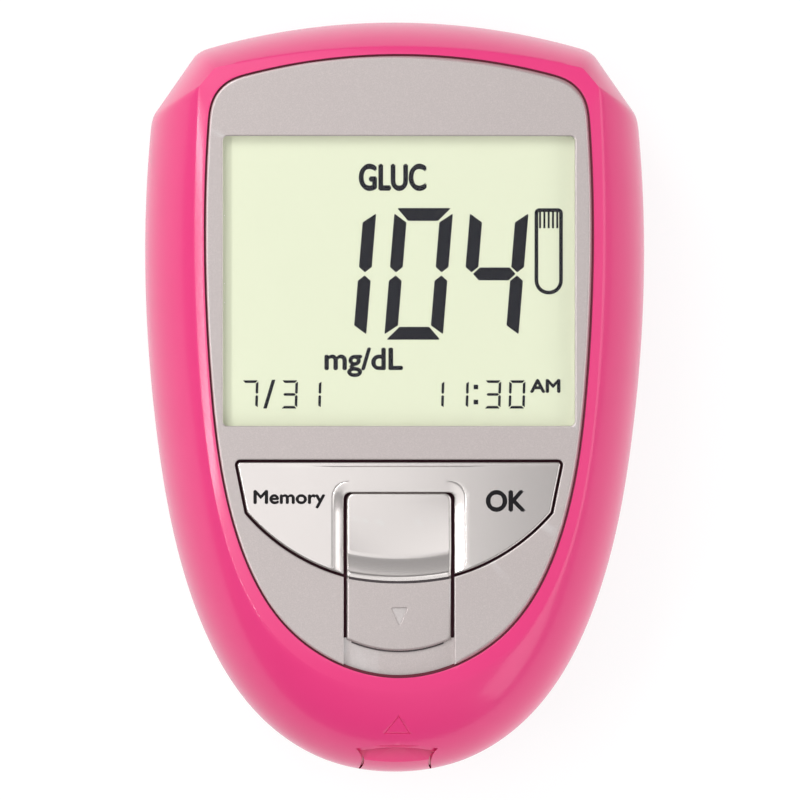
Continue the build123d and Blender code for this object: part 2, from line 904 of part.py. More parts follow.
def crystal():
    """The clock crystal, a small can lying on the board."""
    x = crystal_place[0]
    y = window_middle + crystal_place[1]
    can = Pos(x, y, board_face + crystal_radius) * Rot(90, 0, 0)
    return can * Cylinder(crystal_radius, crystal_length)


def chip_components():
    """A row of small resistors and capacitors."""
    x0 = small_part_row[0]
    y = window_middle + small_part_row[1]
    return [
        standing(x0 + index * small_part_pitch, y, small_part) for index in range(small_part_count)
    ]


def standing(x, y, size):
    """A small box that stands on the board."""
    width, length, height = size
    return Pos(x, y, board_face + height / 2) * Box(width, length, height)


def buzzer():
    """The sounder under the board, a drum with a sound hole."""
    x = -(bay_half_width + bay_wall + buzzer_gap + buzzer_radius)
    y = window_middle - buzzer_drop
    low = board_bottom - buzzer_height
    drum = rod(x, y, low, board_bottom, buzzer_radius)
    return drum - rod(x, y, low, low + buzzer_height / 2, buzzer_radius / 4)


def key_switches():
    """Two tactile switches, each a square body with a round stem."""
    x, y = key_post_place
    half = switch_size / 2
    body_top = board_face + switch_body_height
    body = block(x - half, x + half, y - half, y + half, board_face, body_top)
    stem = rod(x, y, body_top, body_top + switch_stem_height, switch_stem_radius)
    return pair(body + stem)


# ============================================================================ rocker key
def rocker_key():
    """The key plate: crowned top, sloped recess round the button, two posts and a hinge lug."""
    plate = extrude(Pos(0, 0, key_back) * key_face_outline(), key_thickness + key_crown)
    radius = (key_half_width**2 + key_crown**2) / (2 * key_crown)
    crown = Pos(0, 0, key_face + key_crown - radius) * Rot(90, 0, 0) * Cylinder(radius, body_length)
    plate &= crown
    inner_half = button_half_width + button_gap
    inner_top = button_top + button_gap
    inner_corner = button_corner + button_gap
    inner = recess_outline(inner_half, inner_top, inner_corner)
    outer = recess_outline(recess_half_width, recess_top, recess_corner)
    plate -= extrude(Pos(0, 0, key_back) * inner, key_thickness + beyond)
    plate -= loft([Pos(0, 0, key_face - recess_depth) * inner, Pos(0, 0, key_face + key_crown) * outer])
    x, y = key_post_place
    stem_top = board_face + switch_body_height + switch_stem_height
    posts = pair(rod(x, y, stem_top + switch_travel_gap, key_back, key_post_radius))
    lug_low = pin_height - pin_radius - pin_radius
    lug = centred(
        lug_width / 2, hinge_y() - lug_length / 2, hinge_y() + lug_length / 2, lug_low, key_back
    )
    key = plate + posts + lug
    bore = lying_rod(pin_height, key_bottom, key_top, pin_radius + pin_running_gap)
    return key - bore


def key_pin():
    """The steel pin that the key rocks on."""
    return lying_rod(pin_height, pin_end - pin_length, pin_end, pin_radius)


# ============================================================================ ejector
def ejector_button():
    """The thumb slider: a head hollowed for the thumb, rolled over in an arc to the flat apron."""
    outline = button_outline()
    head_high = apron_face + head_rise
    centre = button_step + button_step_radius
    foot = button_step_radius
    top = centre - button_top
    crest = foot - head_roll
    hollow = (top + crest) / 2
    inner = top - head_roll
    low = button_back
    profile = [
        Line((inner, low), (inner, head_high)),
        ThreePointArc((inner, head_high), (hollow, head_high - head_hollow), (crest, head_high)),
        ThreePointArc(
            (crest, head_high),
            (crest + head_roll * sin(pi / 4), apron_face + head_rise * cos(pi / 4)),
            (foot, apron_face + bead_height),
        ),
        Line((foot, apron_face + bead_height), (foot + bead_length, apron_face + bead_height)),
        Line((foot + bead_length, apron_face + bead_height), (foot + bead_length, low)),
        Line((foot + bead_length, low), (inner, low)),
    ]
    ring = revolve(Plane.XZ * make_face(Curve() + profile), Axis.Z)
    apron = extrude(Pos(0, 0, button_back) * outline, apron_thickness)
    column = extrude(Pos(0, 0, button_back) * outline, head_rise + apron_thickness)
    button = apron + (column & Pos(0, centre, 0) * ring)
    button += centred(neck_half_width, neck_bottom, neck_top, carriage_face, button_back)
    x, y = screw_place()
    return button - shank(x, y, carriage_face, button_back, small_screw_radius + screw_hole_gap)


def screw_place():
    """Where the ejector's screw goes: the middle of the neck."""
    return 0.0, (neck_top + neck_bottom) / 2


def ejector_carriage():
    """The slide under the deck, with its arm, the finger behind the strip and two spring seats."""
    plate = centred(
        carriage_half_width, carriage_bottom, carriage_top, carriage_back, carriage_face
    )
    arm_back = carriage_face - arm_thickness
    arm = centred(arm_half_width, finger_bottom, carriage_bottom, arm_back, carriage_face)
    finger = centred(
        finger_half_width, finger_bottom, finger_top, slot_floor + finger_gap, carriage_face
    )
    seats = pair(
        block(
            spring_x - spring_seat,
            spring_x + spring_seat,
            carriage_bottom - spring_wall,
            carriage_bottom,
            spring_height - spring_radius,
            carriage_face,
        )
    )
    carriage = plate + [arm, finger] + seats
    x, y = screw_place()
    return carriage - shank(x, y, carriage_back, carriage_face, small_screw_radius + screw_hole_gap)


def ejector_screw():
    """The screw that holds the button to the carriage."""
    x, y = screw_place()
    head = rod(x, y, carriage_back - small_head_height, carriage_back, small_head_radius)
    return head + shank(x, y, carriage_back, button_back - finger_gap, small_screw_radius)


def ejector_springs():
    """Two springs between the carriage and the stops on the deck."""
    start = carriage_bottom - spring_wall - spring_rest_length
    shape = coil(spring_radius, spring_radius, spring_wire, spring_rest_length, spring_turns)
    return pair(Pos(spring_x, start, spring_height) * Rot(-90, 0, 0) * shape)


# ============================================================================ strip port
def strip_connector():
    """The block on the board that takes the strip: its slot, the finger's groove and contact grooves."""
    low = connector_low
    body = centred(connector_half_width, low, connector_top, board_face, connector_face)
    body -= centred(slot_half_width, low, strip_stop, slot_floor, slot_roof)
    groove_x = finger_half_width + finger_gap
    groove_low = finger_bottom - eject_travel - finger_gap
    body -= centred(groove_x, groove_low, connector_top, slot_floor, connector_face)
    for x in contact_places:
        half = contact_width / 2 + finger_gap / 2
        body -= pair(
            block(x - half, x + half, low + wall, connector_top, slot_roof, connector_face)
        )
    return body


def strip_contacts():
    """Leaf contacts: each bowed so that its middle dips to the strip, its tail on the connector."""
    low = connector_low + wall + finger_gap
    high = connector_top - finger_gap
    rest = connector_face - contact_sheet
    dip = slot_floor + slot_height / 2
    middle = (low + strip_stop) / 2
    upper = [(low, rest), (middle, dip), (strip_stop, rest), (high, rest)]
    lower = [(y, z - contact_sheet) for y, z in upper]
    curve = [Spline(upper[:3]), Line(upper[2], upper[3])]
    curve += [Line(upper[3], lower[3]), Line(lower[3], lower[2])]
    curve += [Spline(lower[2], lower[1], lower[0]), Line(lower[0], upper[0])]
    leaf = extrude(Plane.YZ * make_face(Curve() + curve), contact_width)
    contacts = []
    for x in contact_places:
        contacts += pair(Pos(x - contact_width / 2, 0, contact_sheet) * leaf)
    return contacts


# ============================================================================ battery bay
def cell(side):
    """One AAA cell: a can with a nub on its positive end, which is the upper one on the left."""
    x = side * cell_x
    plus = bay_top - contact_plate if side < 0 else bay_bottom + contact_plate
    minus = plus + side * cell_length
    nub_foot = plus + side * cell_nub_height
    low, high = sorted((nub_foot, minus))
    can = lying_rod(cell_height, low, high, cell_radius)
    low, high = sorted((plus, nub_foot))
    nub = lying_rod(cell_height, low, high, cell_nub_radius)
    return Pos(x, 0, 0) * (can + nub)


def battery_springs():
    """Two conical springs, one behind the negative end of each cell."""
    shape = coil(
        battery_spring_big,
        battery_spring_small,
        battery_spring_wire,
        battery_spring_length,
        battery_spring_turns,
    )
    left = Pos(-cell_x, bay_bottom + contact_plate, cell_height) * Rot(-90, 0, 0) * shape
    right = Pos(cell_x, bay_top - contact_plate, cell_height) * Rot(90, 0, 0) * shape
    return [left, right]


def battery_contacts():
    """Two plates at the upper end of the bay, each with a tail that reaches the board."""
    low = cell_height - contact_half_width
    return pair(
        block(
            cell_x - contact_half_width + contact_plate,
            cell_x + contact_half_width - contact_plate,
            bay_top - contact_plate,
            bay_top,
            low,
            board_bottom,
        )
    )


def battery_bridge():
    """The plate that joins both cells at the lower end of the bay."""
    half = cell_x + contact_half_width
    low = cell_height - contact_half_width
    high = cell_height + contact_half_width
    return centred(half, bay_bottom, bay_bottom + contact_plate, low, high)


def battery_door():
    """The door: a rounded plate with hook tabs, a latch, ribs that steady the cells and a finger grip."""
    reach = door_ledge
    low = bay_bottom - reach
    high = bay_top + reach
    half = bay_half_width + reach
    door = rounded_plate(half, low, high, door_sink, door_back, door_corner)
    tab_low = bay_bottom - door_ledge - door_gap - tab_reach
    neck_high = bay_bottom - door_gap
    tabs = block(tab_near, tab_far, low + door_gap, neck_high, door_back, tab_top)
    tabs += block(tab_near, tab_far, tab_low, neck_high, tab_foot, tab_top)
    latch_back = high - latch_gap - latch_nib
    latch_top = door_back + latch_height
    latch = centred(latch_half_width, latch_back - latch_wall, latch_back, door_back, latch_top)
    nib_x = latch_half_width - latch_wall
    nib = centred(nib_x, latch_back, latch_back + latch_nib, nib_foot, nib_foot + latch_wall)
    ribs = []
    for share in (0.25, 0.5, 0.75):
        y = bay_bottom + bay_length * share
        rib = centred(
            bay_half_width - door_gap, y, y + rib_thickness, door_back, door_back + rib_height
        )
        for side in (-1, 1):
            hollow = lying_rod(cell_height, low, high, cell_radius + cell_gap)
            rib -= Pos(side * cell_x, 0, 0) * hollow
        ribs.append(rib)
    door += pair(tabs)
    door += [latch, nib] + ribs
    grooves = []
    groove_top = door_sink + grip_groove / 2
    for index in range(grip_count):
        y = high - door_corner - 2 * (index + 1) * grip_groove
        grooves.append(centred(grip_width / 2, y, y + grip_groove, 0, groove_top))
    return door - grooves


# ============================================================================ screws
def shank(x, y, z0, z1, radius):
    """The threaded part of a screw, many-sided where it bites into its hole."""
    return extrude(Pos(x, y, z0) * RegularPolygon(radius, screw_sides), z1 - z0)


def housing_screw_set():
    """The four screws, heads towards the back, that hold the shells together."""
    screws = []
    for x, y in housing_screws:
        head = rod(x, y, screw_sink, screw_seat, screw_head_radius)
        reach = screw_reach - screw_hole_gap
        screws += pair(head + shank(x, y, screw_seat, reach, screw_radius))
    return screws


def board_screw_set():
    """The two small screws that hold the board to the posts of the upper shell."""
    head = rod(post_x, post_y, board_bottom - small_head_height, board_bottom, small_head_radius)
    reach = board_screw_reach - screw_hole_gap
    return pair(head + shank(post_x, post_y, board_bottom, reach, small_screw_radius))


nodes = {
    "front_cover": front_cover(),
    "rear_cover": rear_cover(),
    "face_panel": face_panel(),
    "display_lens": display_lens(),
    "lcd_glass": lcd_glass(),
    "lcd_frame": lcd_frame(),
    "zebra_strips": zebra_strips(),
    "main_board": main_board(),
    "microcontroller": microcontroller(),
    "memory_chip": memory_chip(),
    "crystal": crystal(),
    "chip_components": chip_components(),
    "buzzer": buzzer(),
    "key_switches": key_switches(),
    "rocker_key": rocker_key(),
    "key_pin": key_pin(),
    "ejector_button": ejector_button(),
    "ejector_carriage": ejector_carriage(),
    "ejector_screw": ejector_screw(),
    "ejector_springs": ejector_springs(),
    "strip_connector": strip_connector(),
    "strip_contacts": strip_contacts(),
    "battery_door": battery_door(),
    "battery_left": cell(-1),
    "battery_right": cell(1),
    "battery_springs": battery_springs(),
    "battery_contacts": battery_contacts(),
    "battery_bridge": battery_bridge(),
    "housing_screws": housing_screw_set(),
    "board_screws": board_screw_set(),
}

os.makedirs("parts", exist_ok=True)
for name, shape in nodes.items():
    solids = shape if isinstance(shape, list) else [shape]
    children = [solid for piece in solids for solid in piece.solids()]
    whole = children[0] if len(children) == 1 else Compound(children=children)
    export_step(whole, f"parts/{name}.step")
    print(name, "solids", len(children), "volume", round(sum(s.volume for s in children), 1))
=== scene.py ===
"""Looks of a hand-held blood glucose meter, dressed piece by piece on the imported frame."""

import logging
import math
from collections.abc import Callable, Sequence
from dataclasses import dataclass, field
from enum import Enum

import bpy
import numpy as np
from mathutils import Matrix
from mathutils.geometry import delaunay_2d_cdt


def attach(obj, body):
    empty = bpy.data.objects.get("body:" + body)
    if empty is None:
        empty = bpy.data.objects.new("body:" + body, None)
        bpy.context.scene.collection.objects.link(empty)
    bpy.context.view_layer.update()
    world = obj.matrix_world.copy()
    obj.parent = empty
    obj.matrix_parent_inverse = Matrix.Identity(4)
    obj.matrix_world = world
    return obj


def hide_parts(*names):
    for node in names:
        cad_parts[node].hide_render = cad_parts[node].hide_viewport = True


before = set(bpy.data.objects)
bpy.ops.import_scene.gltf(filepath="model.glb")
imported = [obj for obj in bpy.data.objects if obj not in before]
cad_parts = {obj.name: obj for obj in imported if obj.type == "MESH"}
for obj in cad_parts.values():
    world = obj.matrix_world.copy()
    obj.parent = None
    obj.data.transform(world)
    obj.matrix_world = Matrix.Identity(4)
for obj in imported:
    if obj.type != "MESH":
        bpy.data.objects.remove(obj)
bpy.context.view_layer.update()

log = logging.getLogger("meter")
Array = np.ndarray
MM = 0.001  # every size below is in millimetres


# ============================================================================ curves in the plane
def chain_pace(points: Array) -> Array:
    """Distance along the chain of points to each one of them.

    Args:
        points: array of shape (n, 2).

    Returns:
        Array of shape (n,), nought first.
    """
    steps = np.linalg.norm(np.diff(points, axis=0), axis=1)
    return np.concatenate([[0.0], np.cumsum(steps)])


def unit(vectors: Array) -> Array:
    """The vectors scaled to length one."""
    return vectors / np.linalg.norm(vectors, axis=-1, keepdims=True)


def hermite(points: Array, tangents: Array, pace: Array, count: int) -> Array:
    """Cubic pieces from point to point: on each, the blend 2t^3-3t^2+1, t^3-2t^2+t, -2t^3+3t^2, t^3-t^2.

    Args:
        points: array of shape (n, 2).
        tangents: the curve's direction at each point, per unit of pace.
        pace: the parameter at each point.
        count: samples on each piece.

    Returns:
        Array of shape ((n - 1) * count + 1, 2).
    """
    span = np.diff(pace)[:, None, None]
    t = (np.arange(count) / count)[None, :, None]
    start = (2 * t**3 - 3 * t**2 + 1) * points[:-1, None]
    start = start + (t**3 - 2 * t**2 + t) * tangents[:-1, None] * span
    end = (3 * t**2 - 2 * t**3) * points[1:, None] + (t**3 - t**2) * tangents[1:, None] * span
    return np.vstack([(start + end).reshape(-1, 2), points[-1:]])


def clamped_tangents(points: Array, pace: Array, first: Array, last: Array) -> Array:
    """Tangents of the smoothest cubic spline through the points: at each inner point its curvature is even.

    Args:
        points: array of shape (n, 2).
        pace: the parameter at each point.
        first: tangent at the first point.
        last: tangent at the last point.

    Returns:
        Array of shape (n, 2).
    """
    span = np.diff(pace)
    slope = np.diff(points, axis=0) / span[:, None]
    inner = np.arange(1, len(points) - 1)
    matrix = np.eye(len(points))
    matrix[inner, inner - 1] = span[1:]
    matrix[inner, inner] = 2 * (span[:-1] + span[1:])
    matrix[inner, inner + 1] = span[:-1]
    right = np.zeros_like(points)
    right[0] = first
    right[-1] = last
    right[inner] = 3 * (span[1:, None] * slope[:-1] + span[:-1, None] * slope[1:])
    return np.linalg.solve(matrix, right)


def arc_through(start: Sequence[float], middle: Sequence[float], end: Sequence[float], count: int) -> Array:
    """Points on the circle through three points: its centre is where the chords' bisectors meet.

    Args:
        start: first point.
        middle: a point between the ends.
        end: last point.
        count: number of steps.

    Returns:
        Array of shape (count + 1, 2).
    """
    a, b, c = (np.array(p, dtype=float) for p in (start, middle, end))
    sides = 2 * np.array([b - a, c - a])
    centre = np.linalg.solve(sides, [b @ b - a @ a, c @ c - a @ a])
    angles = [math.atan2(*(p - centre)[::-1]) for p in (a, b, c)]
    turn = np.unwrap(angles)
    sweep = np.linspace(turn[0], turn[2], count + 1)
    radius = np.linalg.norm(a - centre)
    return centre + radius * np.column_stack([np.cos(sweep), np.sin(sweep)])


def rounded_loop(corners: Sequence[Sequence[float]], radii: Sequence[float], count: int = 6) -> Array:
    """A closed loop whose corners are arcs: each starts r*tan(turn/2) before its corner.

    Args:
        corners: the corner points, in order.
        radii: a radius for each corner.
        count: steps in each arc.

    Returns:
        Array of shape (corners * (count + 1), 2).
    """
    p = np.array(corners, dtype=float)
    into = unit(p - np.roll(p, 1, axis=0))
    out = unit(np.roll(p, -1, axis=0) - p)
    turn = np.arctan2(into[:, 0] * out[:, 1] - into[:, 1] * out[:, 0], (into * out).sum(axis=1))
    radius = np.array(radii, dtype=float) * np.sign(turn)
    start = p - into * (radius * np.tan(turn / 2))[:, None]
    angle = turn[:, None] * np.linspace(0, 1, count + 1)[None, :]
    ahead = radius[:, None] * np.sin(angle)
    aside = radius[:, None] * (1 - np.cos(angle))
    left = np.column_stack([-into[:, 1], into[:, 0]])
    loop = start[:, None] + ahead[..., None] * into[:, None] + aside[..., None] * left[:, None]
    return loop.reshape(-1, 2)


def box_loop(half: float, low: float, high: float, radius: float, middle: float = 0.0) -> Array:
    """A rectangle with rounded corners, anticlockwise.

    Args:
        half: half width.
        low: lower edge.
        high: upper edge.
        radius: corner radius.
        middle: X of its middle.

    Returns:
        Array of points.
    """
    left, right = middle - half, middle + half
    return rounded_loop([(left, low), (right, low), (right, high), (left, high)], [radius] * 4)


def outward(loop: Array) -> Array:
    """Mitred outward direction at each point of an anticlockwise loop.

    The two edges' normals are added and divided by one plus their dot product, so that a move along it
    shifts both edges by the same distance.

    Args:
        loop: array of shape (n, 2).

    Returns:
        Array of shape (n, 2).
    """
    edge = unit(np.roll(loop, -1, axis=0) - loop)
    ahead = np.column_stack([edge[:, 1], -edge[:, 0]])
    behind = np.roll(ahead, 1, axis=0)
    return (ahead + behind) / (1 + (ahead * behind).sum(axis=1, keepdims=True))


def grown(loop: Array, amount: float | Array) -> Array:
    """The loop with every edge moved outwards by the amount, inwards if negative."""
    return loop + outward(loop) * np.broadcast_to(np.asarray(amount, dtype=float), (len(loop),))[:, None]


def reversed_loop(loop: Array) -> Array:
    """The loop run the other way round."""
    return loop[::-1].copy()


def within(loops: Sequence[Array], points: Array) -> Array:
    """Whether each point has an odd number of loop edges to its right.

    Args:
        loops: closed loops.
        points: array of shape (n, 2).

    Returns:
        Boolean array of shape (n,).
    """
    odd = np.zeros(len(points), dtype=bool)
    x, y = points[:, :1], points[:, 1:]
    for loop in loops:
        a = loop[None]
        b = np.roll(loop, -1, axis=0)[None]
        spans = (a[..., 1] > y) != (b[..., 1] > y)
        rise = np.where(spans, b[..., 1] - a[..., 1], 1.0)
        cross = a[..., 0] + (y - a[..., 1]) * (b[..., 0] - a[..., 0]) / rise
        odd ^= ((spans & (x < cross)).sum(axis=1) % 2).astype(bool)
    return odd


def lattice(loops: Sequence[Array], spacing: float, margin: float) -> Array:
    """Evenly spaced points inside the loops that keep a distance from all their edges.

    Args:
        loops: outer loop first, then holes.
        spacing: distance from point to point.
        margin: least distance from a loop.

    Returns:
        Array of shape (n, 2).
    """
    low = loops[0].min(axis=0) + spacing / 2
    high = loops[0].max(axis=0)
    across = np.arange(low[0], high[0], spacing)
    up = np.arange(low[1], high[1], spacing)
    grid = np.stack(np.meshgrid(across, up), axis=-1).reshape(-1, 2)
    grid = grid[within(loops, grid)]
    return grid[distance_to(loops, grid) > margin]


def distance_to(loops: Sequence[Array], points: Array) -> Array:
    """Distance from each point to the nearest edge of the loops.

    Args:
        loops: closed loops.
        points: array of shape (n, 2).

    Returns:
        Array of shape (n,).
    """
    nearest = np.full(len(points), np.inf)
    for loop in loops:
        edge = np.roll(loop, -1, axis=0) - loop
        size = np.maximum((edge**2).sum(axis=1), 1e-12)
        offset = points[:, None] - loop[None]
        share = np.clip((offset * edge[None]).sum(axis=2) / size, 0, 1)
        gap = np.linalg.norm(offset - share[..., None] * edge[None], axis=2).min(axis=1)
        nearest = np.minimum(nearest, gap)
    return nearest


# ============================================================================ surfaces
@dataclass
class Surface:
    """Points in millimetres and the faces over them, each array of faces holding one number of corners."""

    points: Array
    faces: list[Array]

    def joined(self, other: "Surface") -> "Surface":
        """Both surfaces as one."""
        shifted = [array + len(self.points) for array in other.faces]
        return Surface(np.vstack([self.points, other.points]), self.faces + shifted)

    def turned(self) -> "Surface":
        """The surface with its faces looking the other way."""
        return Surface(self.points, [array[:, ::-1] for array in self.faces])


def strip(rows: int, columns: int, wrap: bool = False, start: int = 0) -> Array:
    """Quads between neighbouring rows of a grid whose columns close on themselves.

    Args:
        rows: number of rows.
        columns: points in each row.
        wrap: whether the last row joins the first.
        start: index of the grid's first point.

    Returns:
        Array of shape (quads, 4).
    """
    row = np.arange(rows if wrap else rows - 1)[:, None]
    column = np.arange(columns)[None, :]
    after = (column + 1) % columns
    above = (row + 1) % rows
    here, there = row * columns, above * columns
    corners = [here + column, here + after, there + after, there + column]
    return start + np.stack(corners, axis=-1).reshape(-1, 4)


def fill(loops: Sequence[Array], extra: Array | None = None) -> Array:
    """Triangles over the area inside the first loop and outside the others, by a constrained Delaunay mesh.

    Args:
        loops: outer loop first, then holes.
        extra: further points inside the area.

    Returns:
        Array of shape (triangles, 3), anticlockwise, into the loops' points and then the extra ones.
    """
    points = np.vstack([*loops, extra] if extra is not None and len(extra) else list(loops))
    edges = []
    start = 0
    for loop in loops:
        index = start + np.arange(len(loop))
        edges.append(np.column_stack([index, np.roll(index, -1)]))
        start += len(loop)
    mesh = delaunay_2d_cdt(points.tolist(), np.vstack(edges).tolist(), [], 0, 1e-9)
    if len(mesh[0]) != len(points):
        raise ValueError(f"an outline meets itself: {len(points)} points became {len(mesh[0])}")
    triangles = np.array(mesh[2])
    triangles = triangles[within(loops, points[triangles].mean(axis=1))]
    a, b, c = points[triangles].transpose(1, 0, 2)
    clockwise = (b - a)[:, 0] * (c - a)[:, 1] < (b - a)[:, 1] * (c - a)[:, 0]
    triangles[clockwise] = triangles[clockwise][:, ::-1]
    return triangles


def stacked(rows: Sequence[tuple[Array, float | Array]]) -> Array:
    """Loops with their heights as one grid of points.

    Args:
        rows: pairs of a loop and its height, a number or one for each point.

    Returns:
        Array of shape (rows * points, 3).
    """
    grid = [np.column_stack([loop, np.broadcast_to(height, (len(loop),))]) for loop, height in rows]
    return np.vstack(grid)


def tower(rows: Sequence[tuple[Array, float | Array]]) -> Surface:
    """A closed body through a stack of anticlockwise loops, its first and last one filled.

    Args:
        rows: pairs of a loop and its height, from the bottom up along the outside.

    Returns:
        The surface.
    """
    columns = len(rows[0][0])
    low = fill([rows[0][0]])[:, ::-1]
    high = fill([rows[-1][0]]) + (len(rows) - 1) * columns
    return Surface(stacked(rows), [strip(len(rows), columns), low, high])


def prism(loop: Array, low: float, high: float) -> Surface:
    """An upright prism over a loop."""
    return tower([(loop, low), (loop, high)])


def cuboid(x0: float, x1: float, y0: float, y1: float, z0: float, z1: float, radius: float = 0.05) -> Surface:
    """A box between two opposite corners, its upright edges rounded a little."""
    return prism(box_loop((x1 - x0) / 2, y0, y1, radius, (x0 + x1) / 2), z0, z1)


def ring_loop(x: float, y: float, radius: float, count: int = 48) -> Array:
    """An anticlockwise circle."""
    angle = 2 * math.pi * np.arange(count) / count
    return np.column_stack([x + radius * np.cos(angle), y + radius * np.sin(angle)])


@dataclass
class Plate:
    """A plate over an outline with holes, whose upper surface is a height for each place on it.

    Its upper edges are rounded: at the angle a the edge lies r*(1-cos(a)^k) inside the outline and
    f*r*(1-sin(a)^k) under the upper surface, where k is 1 for a round edge and 2 for a straight bevel,
    and f is 1 or, for an edge that falls less than it is wide, less.
    """

    outline: Array
    height: Callable[[Array, Array], Array]
    bottom: float
    rounding: float | Array = 0.2
    holes: list[Array] = field(default_factory=list)
    hole_rounding: float = 0.12
    spacing: float = 0.0
    extra: Array | None = None
    steps: int = 5
    support: float = 0.06
    straight: float = 1.0
    fall: float = 1.0

    def surface(self) -> Surface:
        """The plate's closed surface.

        Returns:
            The surface: walls and rounded edges loop by loop, then the upper and the lower face.
        """
        loops = [self.outline] + [reversed_loop(hole) for hole in self.holes]
        radii = [self.rounding] + [self.hole_rounding] * len(self.holes)
        angles = np.linspace(0, math.pi / 2, self.steps + 1)
        blocks, faces, lows, highs, tops = [], [], [], [], []
        start = 0
        for loop, radius in zip(loops, radii):
            radius = np.broadcast_to(np.asarray(radius, dtype=float), (len(loop),))
            rows = [(loop, self.bottom)]
            for angle in angles:
                ring = grown(loop, -radius * (1 - math.cos(angle) ** self.straight))
                drop = self.fall * radius * (1 - math.sin(angle) ** self.straight)
                rows.append((ring, self.height(ring[:, 0], ring[:, 1]) - drop))
            inner = grown(loop, -(radius + self.support))
            rows.append((inner, self.height(inner[:, 0], inner[:, 1])))
            blocks.append(stacked(rows))
            faces.append(strip(len(rows), len(loop), start=start))
            lows.append(start + np.arange(len(loop)))
            highs.append(start + (len(rows) - 1) * len(loop) + np.arange(len(loop)))
            tops.append(rows[-1][0])
            start += len(rows) * len(loop)
        extra = self.extra if self.extra is not None else np.zeros((0, 2))
        if self.spacing:
            grid = lattice(tops, self.spacing, self.spacing * 0.6)
            if len(extra):
                near = np.linalg.norm(grid[:, None] - extra[None], axis=2).min(axis=1)
                grid = grid[near > self.spacing * 0.45]
            extra = np.vstack([extra, grid])
        blocks.append(np.column_stack([extra, self.height(extra[:, 0], extra[:, 1])]))
        upper = np.concatenate([*highs, start + np.arange(len(extra))])
        lower = np.concatenate(lows)
        faces.append(upper[fill(tops, extra)])
        faces.append(lower[fill(loops)][:, ::-1])
        return Surface(np.vstack(blocks), faces)


def flat(height: float) -> Callable[[Array, Array], Array]:
    """A height that is the same everywhere."""
    return lambda x, y: np.full(np.shape(x), float(height))


def lathe(profile: Sequence[tuple[float, float]], x: float, y: float, count: int = 48) -> Surface:
    """A body of revolution about an upright axis: each profile point (r, z) becomes a ring of radius r.

    Args:
        profile: radii and heights from the lowest point of the axis, along the outside, to the highest.
        x: X of the axis.
        y: Y of the axis.
        count: points round each ring.

    Returns:
        The closed surface.
    """
    return tower([(ring_loop(x, y, max(radius, 1e-3), count), height) for radius, height in profile])


def lying(surface: Surface, x: float, y: float, z: float) -> Surface:
    """An upright body about the origin laid down so that its top looks along +Y, and moved into place."""
    p = surface.points
    return Surface(np.column_stack([p[:, 0] + x, p[:, 2] + y, -p[:, 1] + z]), surface.faces)


# ============================================================================ objects
def make_mesh(name: str, surface: Surface) -> bpy.types.Mesh:
    """The surface as a mesh in metres.

    Args:
        name: name of the mesh.
        surface: points in millimetres, and faces.

    Returns:
        The mesh.
    """
    mesh = bpy.data.meshes.new(name)
    points = np.asarray(surface.points, dtype=np.float64) * MM
    corners = np.concatenate([array.ravel() for array in surface.faces]).astype(np.int32)
    sizes = np.concatenate([np.full(len(array), array.shape[1]) for array in surface.faces]).astype(np.int32)
    mesh.vertices.add(len(points))
    mesh.vertices.foreach_set("co", points.ravel())
    mesh.loops.add(len(corners))
    mesh.loops.foreach_set("vertex_index", corners)
    mesh.polygons.add(len(sizes))
    mesh.polygons.foreach_set("loop_start", np.concatenate([[0], np.cumsum(sizes)[:-1]]).astype(np.int32))
    mesh.update(calc_edges=True)
    mesh.validate()
    return mesh


def make_object(name: str, surface: Surface) -> bpy.types.Object:
    """An object at the origin that shows the surface."""
    piece = bpy.data.objects.new(name, make_mesh(name, surface))
    bpy.context.scene.collection.objects.link(piece)
    return piece


class Join(Enum):
    """What a second body does to the first one."""

    ADD = "UNION"
    CUT = "DIFFERENCE"
    COMMON = "INTERSECT"


def combine(piece: bpy.types.Object, surface: Surface, how: Join) -> None:
    """Adds a body to the piece, cuts it out, or keeps what both share, in the piece's own mesh.

    Args:
        piece: the object to change.
        surface: the second body.
        how: what it does.
    """
    tool = make_object("tool", surface)
    step = piece.modifiers.new("step", "BOOLEAN")
    step.operation = how.value
    step.solver = "EXACT"
    step.object = tool
    depsgraph = bpy.context.evaluated_depsgraph_get()
    result = bpy.data.meshes.new_from_object(piece.evaluated_get(depsgraph))
    piece.modifiers.clear()
    before = piece.data
    piece.data = result
    result.name = piece.name
    bpy.data.meshes.remove(before)
    spare = tool.data
    bpy.data.objects.remove(tool)
    bpy.data.meshes.remove(spare)


def carved(surface: Surface, how: Join, *others: Surface) -> Surface:
    """A body with others added, cut out or kept in common, as one surface.

    Args:
        surface: the first body.
        how: what the others do.
        others: the other bodies, taken one after the other.

    Returns:
        The surface, in millimetres.
    """
    piece = make_object("solid", surface)
    for other in others:
        combine(piece, other, how)
    mesh = piece.data
    made = read_mesh(mesh)
    bpy.data.objects.remove(piece)
    bpy.data.meshes.remove(mesh)
    return Surface(made.points / MM, made.faces)


def dress(piece: bpy.types.Object, finish: bpy.types.Material, crease: float = 32.0) -> None:
    """Gives the piece its material and smooth shading, with edges kept where faces meet at an angle.

    Args:
        piece: the object.
        finish: its material.
        crease: angle in degrees from which an edge stays sharp.
    """
    mesh = piece.data
    mesh.materials.clear()
    mesh.materials.append(finish)
    mesh.polygons.foreach_set("use_smooth", np.ones(len(mesh.polygons), dtype=bool))
    mesh.polygons.foreach_set("material_index", np.zeros(len(mesh.polygons), dtype=np.int32))
    mesh.set_sharp_from_angle(angle=math.radians(crease))


